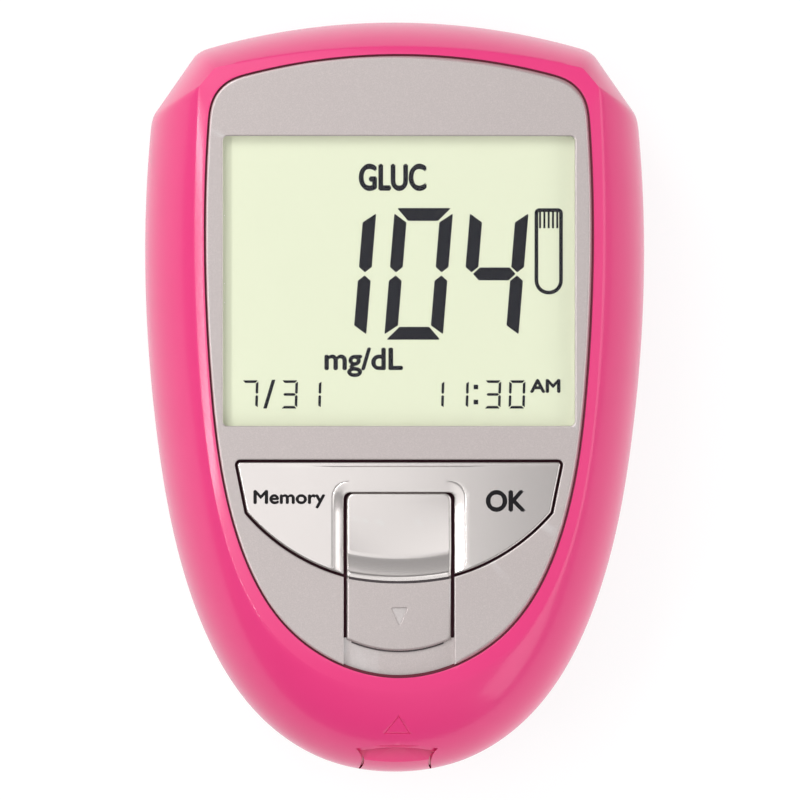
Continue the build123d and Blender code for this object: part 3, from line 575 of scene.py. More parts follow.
def place(
    name: str, surface: Surface, finish: bpy.types.Material, body: str, crease: float = 32.0
) -> bpy.types.Object:
    """A dressed piece on one of the frame's bodies.

    Args:
        name: name of the piece.
        surface: its surface.
        finish: its material.
        body: the body it moves with.
        crease: angle in degrees from which an edge stays sharp.

    Returns:
        The object.
    """
    piece = make_object(name, surface)
    settle(piece, finish, body, crease)
    return piece


def settle(piece: bpy.types.Object, finish: bpy.types.Material, body: str, crease: float = 32.0) -> None:
    """Dresses a finished piece, puts it on its body and reports it."""
    dress(piece, finish, crease)
    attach(piece, body)
    log.info("%s: %d faces on %s", piece.name, len(piece.data.polygons), body)


# ============================================================================ shared shader groups
def new_group(name: str, inputs: dict[str, tuple[str, float]], outputs: dict[str, str]) -> bpy.types.NodeTree:
    """An empty shader group with named sockets.

    Args:
        name: name of the group.
        inputs: for each input its socket type and default value.
        outputs: for each output its socket type.

    Returns:
        The group, with its input and output nodes named "in" and "out".
    """
    group = bpy.data.node_groups.new(name, "ShaderNodeTree")
    for label, (kind, value) in inputs.items():
        socket = group.interface.new_socket(name=label, in_out="INPUT", socket_type=kind)
        if kind == "NodeSocketFloat":
            socket.default_value = value
    for label, kind in outputs.items():
        group.interface.new_socket(name=label, in_out="OUTPUT", socket_type=kind)
    group.nodes.new("NodeGroupInput").name = "in"
    group.nodes.new("NodeGroupOutput").name = "out"
    return group


def link(tree: bpy.types.NodeTree, source: bpy.types.NodeSocket, target: bpy.types.NodeSocket) -> None:
    """Joins two sockets."""
    tree.links.new(source, target)


def sum_of(
    tree: bpy.types.NodeTree, kind: str, *values: bpy.types.NodeSocket | float
) -> bpy.types.NodeSocket:
    """A Math node over sockets or numbers.

    Args:
        tree: the tree to add it to.
        kind: the operation.
        values: its inputs.

    Returns:
        The node's output.
    """
    node = tree.nodes.new("ShaderNodeMath")
    node.operation = kind
    for socket, value in zip(node.inputs, values):
        if isinstance(value, bpy.types.NodeSocket):
            link(tree, value, socket)
        else:
            socket.default_value = value
    return node.outputs[0]


def use_group(
    tree: bpy.types.NodeTree, group: bpy.types.NodeTree, values: dict[str, float]
) -> bpy.types.Node:
    """A node that uses a shared group, with some of its inputs set by name."""
    node = tree.nodes.new("ShaderNodeGroup")
    node.node_tree = group
    for label, value in values.items():
        node.inputs[label].default_value = value
    return node


def blended(
    tree: bpy.types.NodeTree, share: bpy.types.NodeSocket, shader: bpy.types.Node, other: bpy.types.NodeSocket
) -> None:
    """Gives the material its shader mixed with another one by the share."""
    mix = tree.nodes.new("ShaderNodeMixShader")
    link(tree, share, mix.inputs["Fac"])
    link(tree, shader.outputs["BSDF"], mix.inputs[1])
    link(tree, other, mix.inputs[2])
    link(tree, mix.outputs["Shader"], tree.nodes["Material Output"].inputs["Surface"])


def fine_grain() -> bpy.types.NodeTree:
    """Fine moulded or sprayed texture: noise, and the distance to scattered points, on own coordinates.

    Returns:
        The group, with a height from nought to one and a speckle mask.
    """
    group = new_group(
        "fine_grain",
        {"Scale": ("NodeSocketFloat", 2500.0), "Speckle Scale": ("NodeSocketFloat", 4000.0)},
        {"Height": "NodeSocketFloat", "Speckle": "NodeSocketFloat"},
    )
    nodes = group.nodes
    place_at = nodes.new("ShaderNodeTexCoord").outputs["Object"]
    noise = nodes.new("ShaderNodeTexNoise")
    noise.inputs["Detail"].default_value = 3.0
    link(group, place_at, noise.inputs["Vector"])
    link(group, nodes["in"].outputs["Scale"], noise.inputs["Scale"])
    link(group, noise.outputs["Fac"], nodes["out"].inputs["Height"])
    cells = nodes.new("ShaderNodeTexVoronoi")
    link(group, place_at, cells.inputs["Vector"])
    link(group, nodes["in"].outputs["Speckle Scale"], cells.inputs["Scale"])
    link(group, cells.outputs["Distance"], nodes["out"].inputs["Speckle"])
    return group


def handled() -> bpy.types.NodeTree:
    """Faint marks of use: broad smears that change the gloss a little.

    Returns:
        The group, with a roughness and a smear mask.
    """
    group = new_group(
        "handled",
        {
            "Roughness": ("NodeSocketFloat", 0.3),
            "Spread": ("NodeSocketFloat", 0.05),
            "Smear Scale": ("NodeSocketFloat", 90.0),
        },
        {"Roughness": "NodeSocketFloat", "Smear": "NodeSocketFloat"},
    )
    nodes = group.nodes
    place_at = nodes.new("ShaderNodeTexCoord").outputs["Object"]
    broad = nodes.new("ShaderNodeTexNoise")
    broad.inputs["Detail"].default_value = 4.0
    broad.inputs["Distortion"].default_value = 0.6
    link(group, place_at, broad.inputs["Vector"])
    link(group, nodes["in"].outputs["Smear Scale"], broad.inputs["Scale"])
    centred = sum_of(group, "SUBTRACT", broad.outputs["Fac"], 0.5)
    change = sum_of(group, "MULTIPLY", centred, nodes["in"].outputs["Spread"])
    roughness = sum_of(group, "ADD", change, nodes["in"].outputs["Roughness"])
    link(group, roughness, nodes["out"].inputs["Roughness"])
    link(group, broad.outputs["Fac"], nodes["out"].inputs["Smear"])
    return group


def worn_edge() -> bpy.types.NodeTree:
    """Rubbed edges: where the surface is sharply convex, broken up by noise.

    Returns:
        The group, with a mask that is one on the most worn places.
    """
    group = new_group(
        "worn_edge",
        {"Amount": ("NodeSocketFloat", 0.5), "Break Scale": ("NodeSocketFloat", 700.0)},
        {"Mask": "NodeSocketFloat"},
    )
    nodes = group.nodes
    geometry = nodes.new("ShaderNodeNewGeometry")
    sharp = sum_of(group, "SUBTRACT", geometry.outputs["Pointiness"], 0.53)
    sharp = sum_of(group, "MULTIPLY", sharp, 14.0)
    noise = nodes.new("ShaderNodeTexNoise")
    noise.inputs["Detail"].default_value = 4.0
    link(group, nodes.new("ShaderNodeTexCoord").outputs["Object"], noise.inputs["Vector"])
    link(group, nodes["in"].outputs["Break Scale"], noise.inputs["Scale"])
    mask = sum_of(group, "MULTIPLY", sharp, noise.outputs["Fac"])
    mask = sum_of(group, "MULTIPLY", mask, nodes["in"].outputs["Amount"])
    clamp = nodes.new("ShaderNodeClamp")
    link(group, mask, clamp.inputs["Value"])
    link(group, clamp.outputs["Result"], nodes["out"].inputs["Mask"])
    return group


@dataclass
class Groups:
    """The shader groups that the finishes share."""

    grain: bpy.types.NodeTree = field(default_factory=fine_grain)
    handled: bpy.types.NodeTree = field(default_factory=handled)
    worn: bpy.types.NodeTree = field(default_factory=worn_edge)


# ============================================================================ finishes
@dataclass(frozen=True)
class Finish:
    """An opaque finish: colour with a second shade mixed in by smears, gloss, grain and rubbed edges."""

    name: str
    colour: tuple[float, float, float]
    shade: tuple[float, float, float]
    roughness: float = 0.4
    spread: float = 0.06
    metallic: float = 0.0
    coat: float = 0.0
    coat_roughness: float = 0.05
    specular: float = 0.5
    grain_scale: float = 2500.0
    grain: float = 0.02
    flake: float = 0.0
    flake_scale: float = 6000.0
    flake_gain: float = 1.5
    smear_scale: float = 90.0
    wear: float = 0.0
    worn_colour: tuple[float, float, float] = (0.8, 0.8, 0.8)

    def build(self, groups: Groups) -> bpy.types.Material:
        """Makes the material.

        Args:
            groups: the shared shader groups.

        Returns:
            The material.
        """
        material = bpy.data.materials.new(self.name)
        material.use_nodes = True
        tree = material.node_tree
        shader = tree.nodes["Principled BSDF"]
        shader.inputs["Metallic"].default_value = self.metallic
        shader.inputs["Coat Weight"].default_value = self.coat
        shader.inputs["Coat Roughness"].default_value = self.coat_roughness
        shader.inputs["Specular IOR Level"].default_value = self.specular
        scales = {"Scale": self.grain_scale, "Speckle Scale": self.flake_scale}
        grain = use_group(tree, groups.grain, scales)
        gloss = {"Roughness": self.roughness, "Spread": self.spread, "Smear Scale": self.smear_scale}
        used = use_group(tree, groups.handled, gloss)
        link(tree, used.outputs["Roughness"], shader.inputs["Roughness"])
        bump = tree.nodes.new("ShaderNodeBump")
        bump.inputs["Strength"].default_value = 1.0
        bump.inputs["Distance"].default_value = self.grain * MM
        link(tree, grain.outputs["Height"], bump.inputs["Height"])
        link(tree, bump.outputs["Normal"], shader.inputs["Normal"])
        colour = self.mixed(tree, used.outputs["Smear"], self.colour, self.shade)
        if self.flake:
            speckle = sum_of(tree, "MULTIPLY", grain.outputs["Speckle"], self.flake)
            pale = tuple(min(1.0, value * self.flake_gain) for value in self.colour)
            colour = self.mixed(tree, speckle, colour, pale)
        if self.wear:
            worn = use_group(tree, groups.worn, {"Amount": self.wear})
            colour = self.mixed(tree, worn.outputs["Mask"], colour, self.worn_colour)
        link(tree, colour, shader.inputs["Base Color"])
        return material

    @staticmethod
    def mixed(
        tree: bpy.types.NodeTree,
        factor: bpy.types.NodeSocket,
        first: tuple[float, float, float] | bpy.types.NodeSocket,
        second: tuple[float, float, float],
    ) -> bpy.types.NodeSocket:
        """A Mix node between two colours.

        Args:
            tree: the material's nodes.
            factor: share of the second colour.
            first: first colour or a socket that gives it.
            second: second colour.

        Returns:
            The mixed colour.
        """
        node = tree.nodes.new("ShaderNodeMix")
        node.data_type = "RGBA"
        link(tree, factor, node.inputs["Factor"])
        if isinstance(first, bpy.types.NodeSocket):
            link(tree, first, node.inputs[6])
        else:
            node.inputs[6].default_value = (*first, 1.0)
        node.inputs[7].default_value = (*second, 1.0)
        return node.outputs[2]


@dataclass(frozen=True)
class Clear:
    """Clear acrylic: it refracts what the camera sees and lets light straight through."""

    name: str
    roughness: float = 0.02
    spread: float = 0.02
    ior: float = 1.22
    passing: float = 0.97

    def build(self, groups: Groups) -> bpy.types.Material:
        """Makes the material, its gloss broken a little by the handled group.

        Args:
            groups: the shared shader groups.

        Returns:
            The material.
        """
        material = bpy.data.materials.new(self.name)
        material.use_nodes = True
        tree = material.node_tree
        shader = tree.nodes["Principled BSDF"]
        shader.inputs["Base Color"].default_value = (1.0, 1.0, 1.0, 1.0)
        shader.inputs["Transmission Weight"].default_value = 1.0
        shader.inputs["IOR"].default_value = self.ior
        used = use_group(tree, groups.handled, {"Roughness": self.roughness, "Spread": self.spread})
        link(tree, used.outputs["Roughness"], shader.inputs["Roughness"])
        through = tree.nodes.new("ShaderNodeBsdfTransparent")
        through.inputs["Color"].default_value = (self.passing, self.passing, self.passing, 1.0)
        path = tree.nodes.new("ShaderNodeLightPath")
        straight = sum_of(tree, "MAXIMUM", path.outputs["Is Shadow Ray"], path.outputs["Is Diffuse Ray"])
        blended(tree, straight, shader, through.outputs["BSDF"])
        return material


class Skin(Enum):
    """The finishes of the meter's pieces."""

    PINK = Finish(
        "pink_gloss_plastic", (0.76, 0.043, 0.203), (0.74, 0.037, 0.19), roughness=0.36, spread=0.04,
        coat=0.5, coat_roughness=0.13, specular=0.3, grain_scale=900.0, grain=0.003, wear=0.2,
        worn_colour=(0.90, 0.25, 0.40),
    )
    SILVER = Finish(
        "silver_paint", (0.51, 0.457, 0.448), (0.492, 0.44, 0.432), roughness=0.40, spread=0.05, metallic=0.6,
        grain_scale=5000.0, grain=0.004, flake=0.35, flake_scale=7000.0, wear=0.3,
    )
    KEY_SILVER = Finish(
        "key_silver_paint", (0.745, 0.697, 0.678), (0.725, 0.677, 0.658), roughness=0.24, spread=0.03,
        metallic=0.85, grain_scale=5000.0, grain=0.002, flake=0.06, flake_scale=7000.0, wear=0.15,
    )
    LENS = Clear("clear_acrylic")
    DISPLAY = Finish(
        "display_glass", (0.73, 0.77, 0.575), (0.72, 0.76, 0.565), roughness=0.5, spread=0.03,
        specular=0.2, grain_scale=3000.0, grain=0.001,
    )
    SEGMENT = Finish(
        "display_segments", (0.005, 0.005, 0.009), (0.007, 0.007, 0.012), roughness=0.6, specular=0.1,
        grain=0.001,
    )
    PRINT = Finish(
        "key_print", (0.012, 0.011, 0.013), (0.018, 0.017, 0.018), roughness=0.7, specular=0.05, grain=0.002
    )
    # painted shade: the deck's dark maroon stands in for the shade seen down the gaps round the panel, key and
    # button
    DECK_PAINTED_SHADE = Finish(
        "deck_painted_shade", (0.085, 0.010, 0.028), (0.065, 0.008, 0.021), roughness=0.7, grain=0.002
    )
    # painted shade: a dark maroon sheet that stands in for the shade and pink bounce light in the gap round the
    # panel
    RIM_GAP_PAINTED_SHADE = Finish("rim_gap_painted_shade", (0.12, 0.007, 0.025), (0.10, 0.006, 0.021), roughness=0.6, grain=0.002)
    # painted shade: dark bars in the slider's step groove and under its lower end, in place of the shade there
    SEAM = Finish("slider_painted_shade", (0.05, 0.038, 0.042), (0.04, 0.03, 0.034), roughness=0.6, grain=0.002)
    BOARD = Finish(
        "circuit_board", (0.02, 0.16, 0.05), (0.015, 0.11, 0.04), roughness=0.35, spread=0.1, coat=0.3,
        grain_scale=1500.0, grain=0.006,
    )
    CHIP = Finish("chip_resin", (0.02, 0.02, 0.022), (0.03, 0.03, 0.03), roughness=0.55, grain=0.006)
    STEEL = Finish(
        "bright_steel", (0.62, 0.62, 0.64), (0.52, 0.52, 0.54), roughness=0.28, spread=0.12, metallic=1.0,
        grain_scale=1800.0, grain=0.003, wear=0.4, worn_colour=(0.85, 0.85, 0.86),
    )
    GOLD = Finish(
        "gold_plate", (0.83, 0.60, 0.24), (0.75, 0.52, 0.20), roughness=0.25, spread=0.1, metallic=1.0,
        grain=0.002,
    )
    RUBBER = Finish("grey_rubber", (0.10, 0.10, 0.11), (0.14, 0.14, 0.15), roughness=0.8, grain=0.01)
    BLACK_PLASTIC = Finish(
        "black_plastic", (0.022, 0.022, 0.024), (0.03, 0.03, 0.032), roughness=0.45, spread=0.1, grain=0.01
    )
    WHITE_PLASTIC = Finish(
        "white_plastic", (0.72, 0.71, 0.68), (0.68, 0.67, 0.64), roughness=0.45, spread=0.08, grain=0.008
    )
    SLEEVE = Finish(
        "cell_sleeve", (0.04, 0.05, 0.07), (0.05, 0.06, 0.085), roughness=0.25, spread=0.08, coat=0.4,
        grain=0.002, wear=0.4, worn_colour=(0.5, 0.5, 0.5),
    )
    SLEEVE_BAND = Finish(
        "cell_band", (0.60, 0.58, 0.55), (0.55, 0.53, 0.50), roughness=0.3, spread=0.08, metallic=0.7,
        grain=0.002,
    )


class Wardrobe:
    """Builds each finish once, when it is first asked for."""

    def __init__(self) -> None:
        """Starts with the shared groups and no material."""
        self.groups = Groups()
        self.made: dict[Skin, bpy.types.Material] = {}

    def __getitem__(self, skin: Skin) -> bpy.types.Material:
        """The material of a finish."""
        if skin not in self.made:
            self.made[skin] = skin.value.build(self.groups)
        return self.made[skin]


# ============================================================================ outlines of the meter
@dataclass
class Contour:
    """A closed outline, the same left and right: an arc over the top, bevelled corners, one curve down."""

    half: float
    top: float
    nose: float
    corner: list[tuple[float, float]]
    side: list[tuple[float, float]]
    soft: bool = False
    arc_steps: int = 28
    corner_steps: int = 12
    side_steps: int = 16

    def loop(self) -> Array:
        """The outline, anticlockwise from the nose.

        Returns:
            Array of shape (n, 2).
        """
        corner = np.array([(self.half - inwards, self.top - down) for inwards, down in self.corner])
        side = np.array([(self.half - inwards, self.nose + up) for inwards, up in self.side])
        side = np.vstack([corner[-1:], side, [[0.0, self.nose]]])
        shoulder = corner[0]
        over = arc_through((-shoulder[0], shoulder[1]), (0, self.top), shoulder, 2 * self.arc_steps)
        over = over[self.arc_steps :]
        ahead = unit((over[-1] - over[-2])[None])[0]
        bevel = unit((corner[2] - corner[1])[None])[0]
        down = unit(np.array([[2 * (side[1, 0] - corner[-1, 0]), side[1, 1] - corner[-1, 1]]]))[0]
        turns = np.array([ahead, bevel, bevel, down])
        if self.soft:
            turns = clamped_tangents(corner, chain_pace(corner), ahead, down)
        bend = hermite(corner, turns, chain_pace(corner), self.corner_steps)
        pace = chain_pace(side)
        tangents = clamped_tangents(side, pace, down, np.array([-1.0, 0.0]))
        flank = hermite(side, tangents, pace, self.side_steps)
        right = np.vstack([over[:-1], bend[:-1], flank])[::-1]
        left = right[-2:0:-1] * [-1, 1]
        return np.vstack([right, left])


@dataclass
class Layout:
    """The meter's main outlines and heights."""

    half_width: float = 32.0
    half_length: float = 48.0
    panel_half: float = 24.7
    panel_top: float = 43.5
    panel_nose: float = -35.6
    rim_width: float = 0.8
    parting: float = 11.0
    rim: float = 24.5
    panel_face: float = 24.3
    deck_face: float = 22.5
    deck_back: float = 21.0
    key_top: float = -8.33
    key_half: float = 20.7
    key_side: tuple[float, float] = (19.4, -14.7)
    key_bottom: float = -23.6
    channel_half: float = 7.09
    post_x: float = 14.5
    post_y: float = -14.5
    wall: float = 1.8
    body: Array = field(init=False)
    ridge: Array = field(init=False)
    panel: Array = field(init=False)

    def __post_init__(self) -> None:
        """Draws the three outlines."""
        body_side = [(0.0, 66.8), (1.6, 42.5), (6.1, 22.0), (15.25, 6.6), (23.28, 1.48)]
        body_corner = [(8.3, 3.3), (6.2, 4.6), (1.4, 11.5), (0.72, 13.9)]
        self.body = Contour(
            self.half_width, self.half_length, -self.half_length, body_corner, body_side
        ).loop()
        panel_side = [(0.05, 57.5), (0.85, 37.0), (3.7, 19.4), (10.8, 6.0), (17.5, 1.5)]
        panel_corner = [(5.3, 2.5), (2.85, 3.5), (1.15, 5.5), (0.52, 8.6)]
        self.panel = Contour(
            self.panel_half, self.panel_top, self.panel_nose, panel_corner, panel_side, soft=True
        ).loop()
        ridge_corner = [(2.5, 2.52), (2.05, 2.75), (0.75, 4.1), (0.52, 4.9)]
        rim = self.rim_width
        self.ridge = Contour(
            self.panel_half + rim, self.panel_top + rim, self.panel_nose - rim, ridge_corner, panel_side
        ).loop()

    def key_loop(self, more: float = 0.0, radius: float = 0.35) -> Array:
        """The D shape of the rocker key: straight top and sides and a wide arc below.

        Args:
            more: distance it is grown by.
            radius: radius of its corners.

        Returns:
            Anticlockwise loop from the lowest point.
        """
        x, y = self.key_side
        lower = arc_through((-x, y), (0, self.key_bottom), (x, y), 96)
        corners = [(x, y), (self.key_half, self.key_top), (-self.key_half, self.key_top), (-x, y)]
        upper = rounded_loop(corners, [1.2, radius, radius, 1.2], 6)
        upper = upper[7:21]
        loop = np.vstack([lower[48:], upper, lower[:48]])
        return grown(loop, more) if more else loop

    def flank(self, turn: float, depth: float = 0.0) -> tuple[Array, float]:
        """The front flank where it has turned by some degrees, at a depth under its surface.

        The outline goes from the body's to the ridge's as (1-cos turn)/(1-cos 60), and the height rises
        as sin turn.

        Args:
            turn: degrees from the parting line.
            depth: distance under the surface.

        Returns:
            The loop and its height.
        """
        angle = math.radians(turn)
        share = (1 - math.cos(angle)) / (1 - math.cos(math.radians(60.0)))
        loop = self.body + (self.ridge - self.body) * share
        rise = (self.rim - self.parting) / math.sin(math.radians(60.0)) - depth
        return self.drawn_in(loop, depth * math.cos(angle)), self.parting + rise * math.sin(angle)

    def back(self, turn: float, depth: float = 0.0) -> tuple[Array, float]:
        """The rounded back where it has turned by some degrees from the parting line.

        Args:
            turn: degrees from the parting line, 72 at the resting face.
            depth: distance under the surface.

        Returns:
            The loop and its height.
        """
        angle = math.radians(turn)
        share = (1 - math.cos(angle)) / (1 - math.cos(math.radians(72.0)))
        loop = self.drawn_in(self.body, 7.0 * share)
        drop = self.parting / math.sin(math.radians(72.0)) - depth
        return self.drawn_in(loop, depth * math.cos(angle)), self.parting - drop * math.sin(angle)

    def drawn_in(self, loop: Array, depth: float) -> Array:
        """The loop shrunk so that its sides and ends lie the given depth further in."""
        return loop * [1 - depth / self.half_width, 1 - depth / self.half_length]


def tongue_loop(more: float = 0.0, over_more: float | None = None) -> Array:
    """The strip port's tongue from above: a shallow arc on top and a waist between two flares.

    Args:
        more: distance it is grown by.
        over_more: distance that the arc on top is moved outwards, if it differs.

    Returns:
        Anticlockwise loop.
    """
    half, waist = 4.9 + more, 4.1 + more
    top, side = -44.8 + more, -45.3 + more
    low = -2 * 46.6 - side
    rise = (more if over_more is None else over_more) - more
    over = arc_through((half, side), (0, top), (-half, side), 24) + [0.0, rise]
    left = arc_through((-half, side), (-waist, -46.6), (-half, low), 12)
    right = arc_through((half, low), (waist, -46.6), (half, side), 12)
    ends = [[-half, -60.0], [half, -60.0]]
    if rise:
        return np.vstack([over, left, ends, right])
    return np.vstack([over[:-1], left, ends, right[:-1]])


# ============================================================================ housing
@dataclass
class Housing:
    """The two pink shells with the deck, the strip port and the screws."""

    layout: Layout
    skins: Wardrobe
    rim_roll_start: float = 56.3
    facet_end: float = 0.34
    panel_gap: float = 0.26
    facet_bulge: float = 0.004
    part_edge: float = 0.14
    notch_depth: float = 0.45
    groove_width: float = 0.16
    groove_depth: float = 0.14
    screws: list[tuple[float, float]] = field(default_factory=lambda: [(17.0, 38.4), (12.5, -31.0)])
    bay_half: float = 10.95
    bay_low: float = -13.65
    bay_high: float = 35.65

    def front_rows(self) -> list[tuple[Array, Array | float]]:
        """Loops of the front shell: up the flank, over the ridge's facet, down the recess, and back inside.

        The facet runs straight from the flank to the ridge, with a bulge of 4 b s (1-s) at the share s.
        """
        lay = self.layout
        rows: list[tuple[Array, Array | float]] = [(grown(lay.body, -self.part_edge), lay.parting + 0.01)]
        rows.append((grown(lay.body, -0.3 * self.part_edge), lay.parting + 0.3 * self.part_edge))
        rows.append((lay.body, lay.parting + self.part_edge))
        rows += [lay.flank(turn) for turn in np.linspace(3.0, self.rim_roll_start, 26)]
        start, low = lay.flank(self.rim_roll_start)
        crest, inner = grown(lay.panel, self.facet_end), grown(lay.panel, self.panel_gap)
        high = lay.rim - 0.03
        for share in (0.1, 0.25, 0.5, 0.75, 0.93):
            loop = start + (crest - start) * share
            bulge = self.facet_bulge * 4 * share * (1 - share)
            rows.append((loop, low + (high - low) * share + bulge))
        for t in np.linspace(0, 1, 7)[1:]:
            loop = crest + (inner - crest) * (1 - (1 - t) ** 2)
            rows.append((loop, high - 0.13 * t**2))
        rows.append((inner, lay.deck_back))
        for turn in (44.0, 30.0, 15.0, 0.0):
            rows.append(lay.flank(turn, lay.wall))
        rows[-4] = (rows[-4][0], lay.deck_back)
        rows.append((lay.drawn_in(lay.body, lay.wall), lay.parting + 0.01))
        return rows

    def build_front(self) -> None:
        """The upper shell, cut out for the tongue at the nose, with the deck under the panel."""
        rows = self.front_rows()
        surface = Surface(stacked(rows), [strip(len(rows), len(self.layout.body), wrap=True)])
        shell = make_object("front_shell", surface)
        combine(shell, prism(tongue_loop(0.35), 5.0, 40.0), Join.CUT)
        for groove in self.arrow_grooves():
            combine(shell, groove, Join.CUT)
        settle(shell, self.skins[Skin.PINK], "housing", 40.0)
        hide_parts("front_cover")
        self.build_deck()

    def nose_height(self, x: Array, y: Array) -> Array:
        """Height of the flank near the nose: a polynomial in X and Y fitted to its loops by least squares."""
        samples = []
        for turn in np.linspace(18.0, 50.0, 24):
            loop, height = self.layout.flank(turn)
            near = loop[(np.abs(loop[:, 0]) < 4) & (loop[:, 1] < 0)]
            samples.append(np.column_stack([near, np.full(len(near), height)]))
        px, py, pz = np.vstack(samples).T
        terms = [(i, j) for i in (0, 2, 4) for j in range(6 - i)]
        matrix = np.column_stack([px**i * (py + 42) ** j for i, j in terms])
        weights = np.linalg.lstsq(matrix, pz, rcond=None)[0]
        return sum(weight * x**i * (y + 42) ** j for weight, (i, j) in zip(weights, terms))

    def arrow_grooves(self) -> list[Surface]:
        """Three fine V grooves that draw the arrow over the strip port, each a three-sided bar."""
        corners = np.array([(0.05, -40.75), (-1.65, -42.95), (1.5, -42.95)])
        bars = []
        for start, end in zip(corners, np.roll(corners, -1, axis=0)):
            along = unit((end - start)[None])[0]
            aside = np.array([-along[1], along[0]]) * self.groove_width
            share = np.linspace(-0.04, 1.04, 9)[:, None]
            path = start + share * (end - start)
            rows = []
            for x, y in path:
                z = float(self.nose_height(np.array(x), np.array(y)))
                left, right = np.array((x, y)) + aside, np.array((x, y)) - aside
                rows.append([(x, y, z - self.groove_depth), (*right, z + 0.15), (*left, z + 0.15)])
            points = np.array(rows).reshape(-1, 3)
            ends = [np.array([[2, 1, 0]]), np.array([[0, 1, 2]]) + len(points) - 3]
            bars.append(Surface(points, [strip(len(rows), 3), *ends]).turned())
        return bars

    def build_deck(self) -> None:
        """The floor under the panel, open for the display, the key's posts and lug, and the button's neck; its
        near-black maroon is painted shade for the gaps that show it.
        """
        lay = self.layout
        deck = make_object("deck", prism(grown(lay.panel, 0.38), lay.deck_back, lay.deck_face))
        combine(deck, cuboid(-23.6, 23.6, -5.3, 34.9, 20.0, 24.0), Join.CUT)
        combine(deck, cuboid(-2.9, 2.9, -27.0, -17.6, 20.0, 24.0, 0.4), Join.CUT)
        combine(deck, cuboid(-1.5, 1.5, -10.75, -9.05, 20.0, 24.0, 0.2), Join.CUT)
        for side in (-1, 1):
            combine(deck, prism(ring_loop(side * lay.post_x, lay.post_y, 1.8), 20.0, 24.0), Join.CUT)
        # painted shade: the deck is coloured dark so that the gaps above it look shaded
        settle(deck, self.skins[Skin.DECK_PAINTED_SHADE], "housing")

    def body_solid(self, more: float) -> Surface:
        """The whole outer body as one solid, grown by an amount."""
        lay = self.layout
        rows = [lay.back(turn) for turn in np.linspace(72.0, 3.0, 16)]
        rows += [lay.flank(turn) for turn in np.linspace(0.0, 54.0, 16)]
        return tower([(grown(loop, more), height) for loop, height in rows])

    def build_port(self) -> None:
        """The block behind the scoop with the strip's slot, as a mouth cut through it."""
        block = make_object("port_block", cuboid(-7.0, 7.0, -49.0, -41.5, 11.2, 18.4))
        combine(block, self.body_solid(-self.notch_depth), Join.COMMON)
        combine(block, cuboid(-4.2, 4.2, -47.0, -40.0, 16.2, 17.2, 0.3), Join.CUT)
        combine(block, prism(tongue_loop(0.02), 5.0, 40.0), Join.CUT)
        settle(block, self.skins[Skin.PINK], "housing")

    def build_rear(self) -> None:
        """The lower shell: rounded bowl, battery bay, screw bosses, door recess and the port's tongue."""
        lay = self.layout
        outside = [lay.back(turn) for turn in np.linspace(72.0, 3.0, 26)]
        rim = [
            (lay.body, lay.parting - self.part_edge),
            (grown(lay.body, -0.3 * self.part_edge), lay.parting - 0.3 * self.part_edge),
            (grown(lay.body, -self.part_edge), lay.parting),
        ]
        inside = [lay.back(turn, lay.wall) for turn in (0.0, 20.0, 40.0, 56.0, 72.0)]
        shell = make_object("rear_shell", tower(outside + rim + inside))
        bay = cuboid(-12.15, 12.15, self.bay_low - 1.2, self.bay_high + 1.2, 0.4, 13.6)
        combine(shell, bay, Join.ADD)
        ledge = cuboid(-14.15, 14.15, self.bay_low - 3.2, self.bay_high + 3.2, 0.35, 2.975)
        combine(shell, ledge, Join.ADD)
        for x, y in self.screws:
            for side in (-1, 1):
                boss = prism(ring_loop(side * x, y, 3.25), 0.5, lay.parting - 0.02)
                combine(shell, carved(boss, Join.COMMON, self.body_solid(-0.02)), Join.ADD)
        combine(shell, self.tongue(), Join.ADD)
        recess = box_loop(self.bay_half + 2.0, self.bay_low - 2.0, self.bay_high + 2.0, 2.3)
        combine(shell, prism(recess, -3.0, 1.675), Join.CUT)
        hold = cuboid(-self.bay_half, self.bay_half, self.bay_low, self.bay_high, -3.0, 12.7, 0.4)
        combine(shell, hold, Join.CUT)
        for x, y in self.screws:
            for side in (-1, 1):
                combine(shell, prism(ring_loop(side * x, y, 2.15), -3.0, 4.0), Join.CUT)
        for left, right in ((-10.7, -7.9), (7.9, 10.7)):
            combine(shell, cuboid(left, right, -17.15, self.bay_low + 0.1, 1.95, 3.38), Join.CUT)
            combine(shell, cuboid(left, right, -15.65, self.bay_low + 0.1, 0.2, 2.1), Join.CUT)
        combine(shell, cuboid(-5.3, 5.3, self.bay_high - 0.1, 37.35, 0.0, 4.55), Join.CUT)
        combine(shell, cuboid(-5.3, 5.3, self.bay_high - 0.1, 37.65, 2.15, 4.5), Join.CUT)
        settle(shell, self.skins[Skin.PINK], "housing", 40.0)
        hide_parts("rear_cover")

    def tongue(self) -> Surface:
        """The port's tongue: what the tongue's prism shares with the whole body, a hair proud of it."""
        return carved(self.body_solid(0.012), Join.COMMON, prism(tongue_loop(0.0, 0.33), 5.0, 16.2))

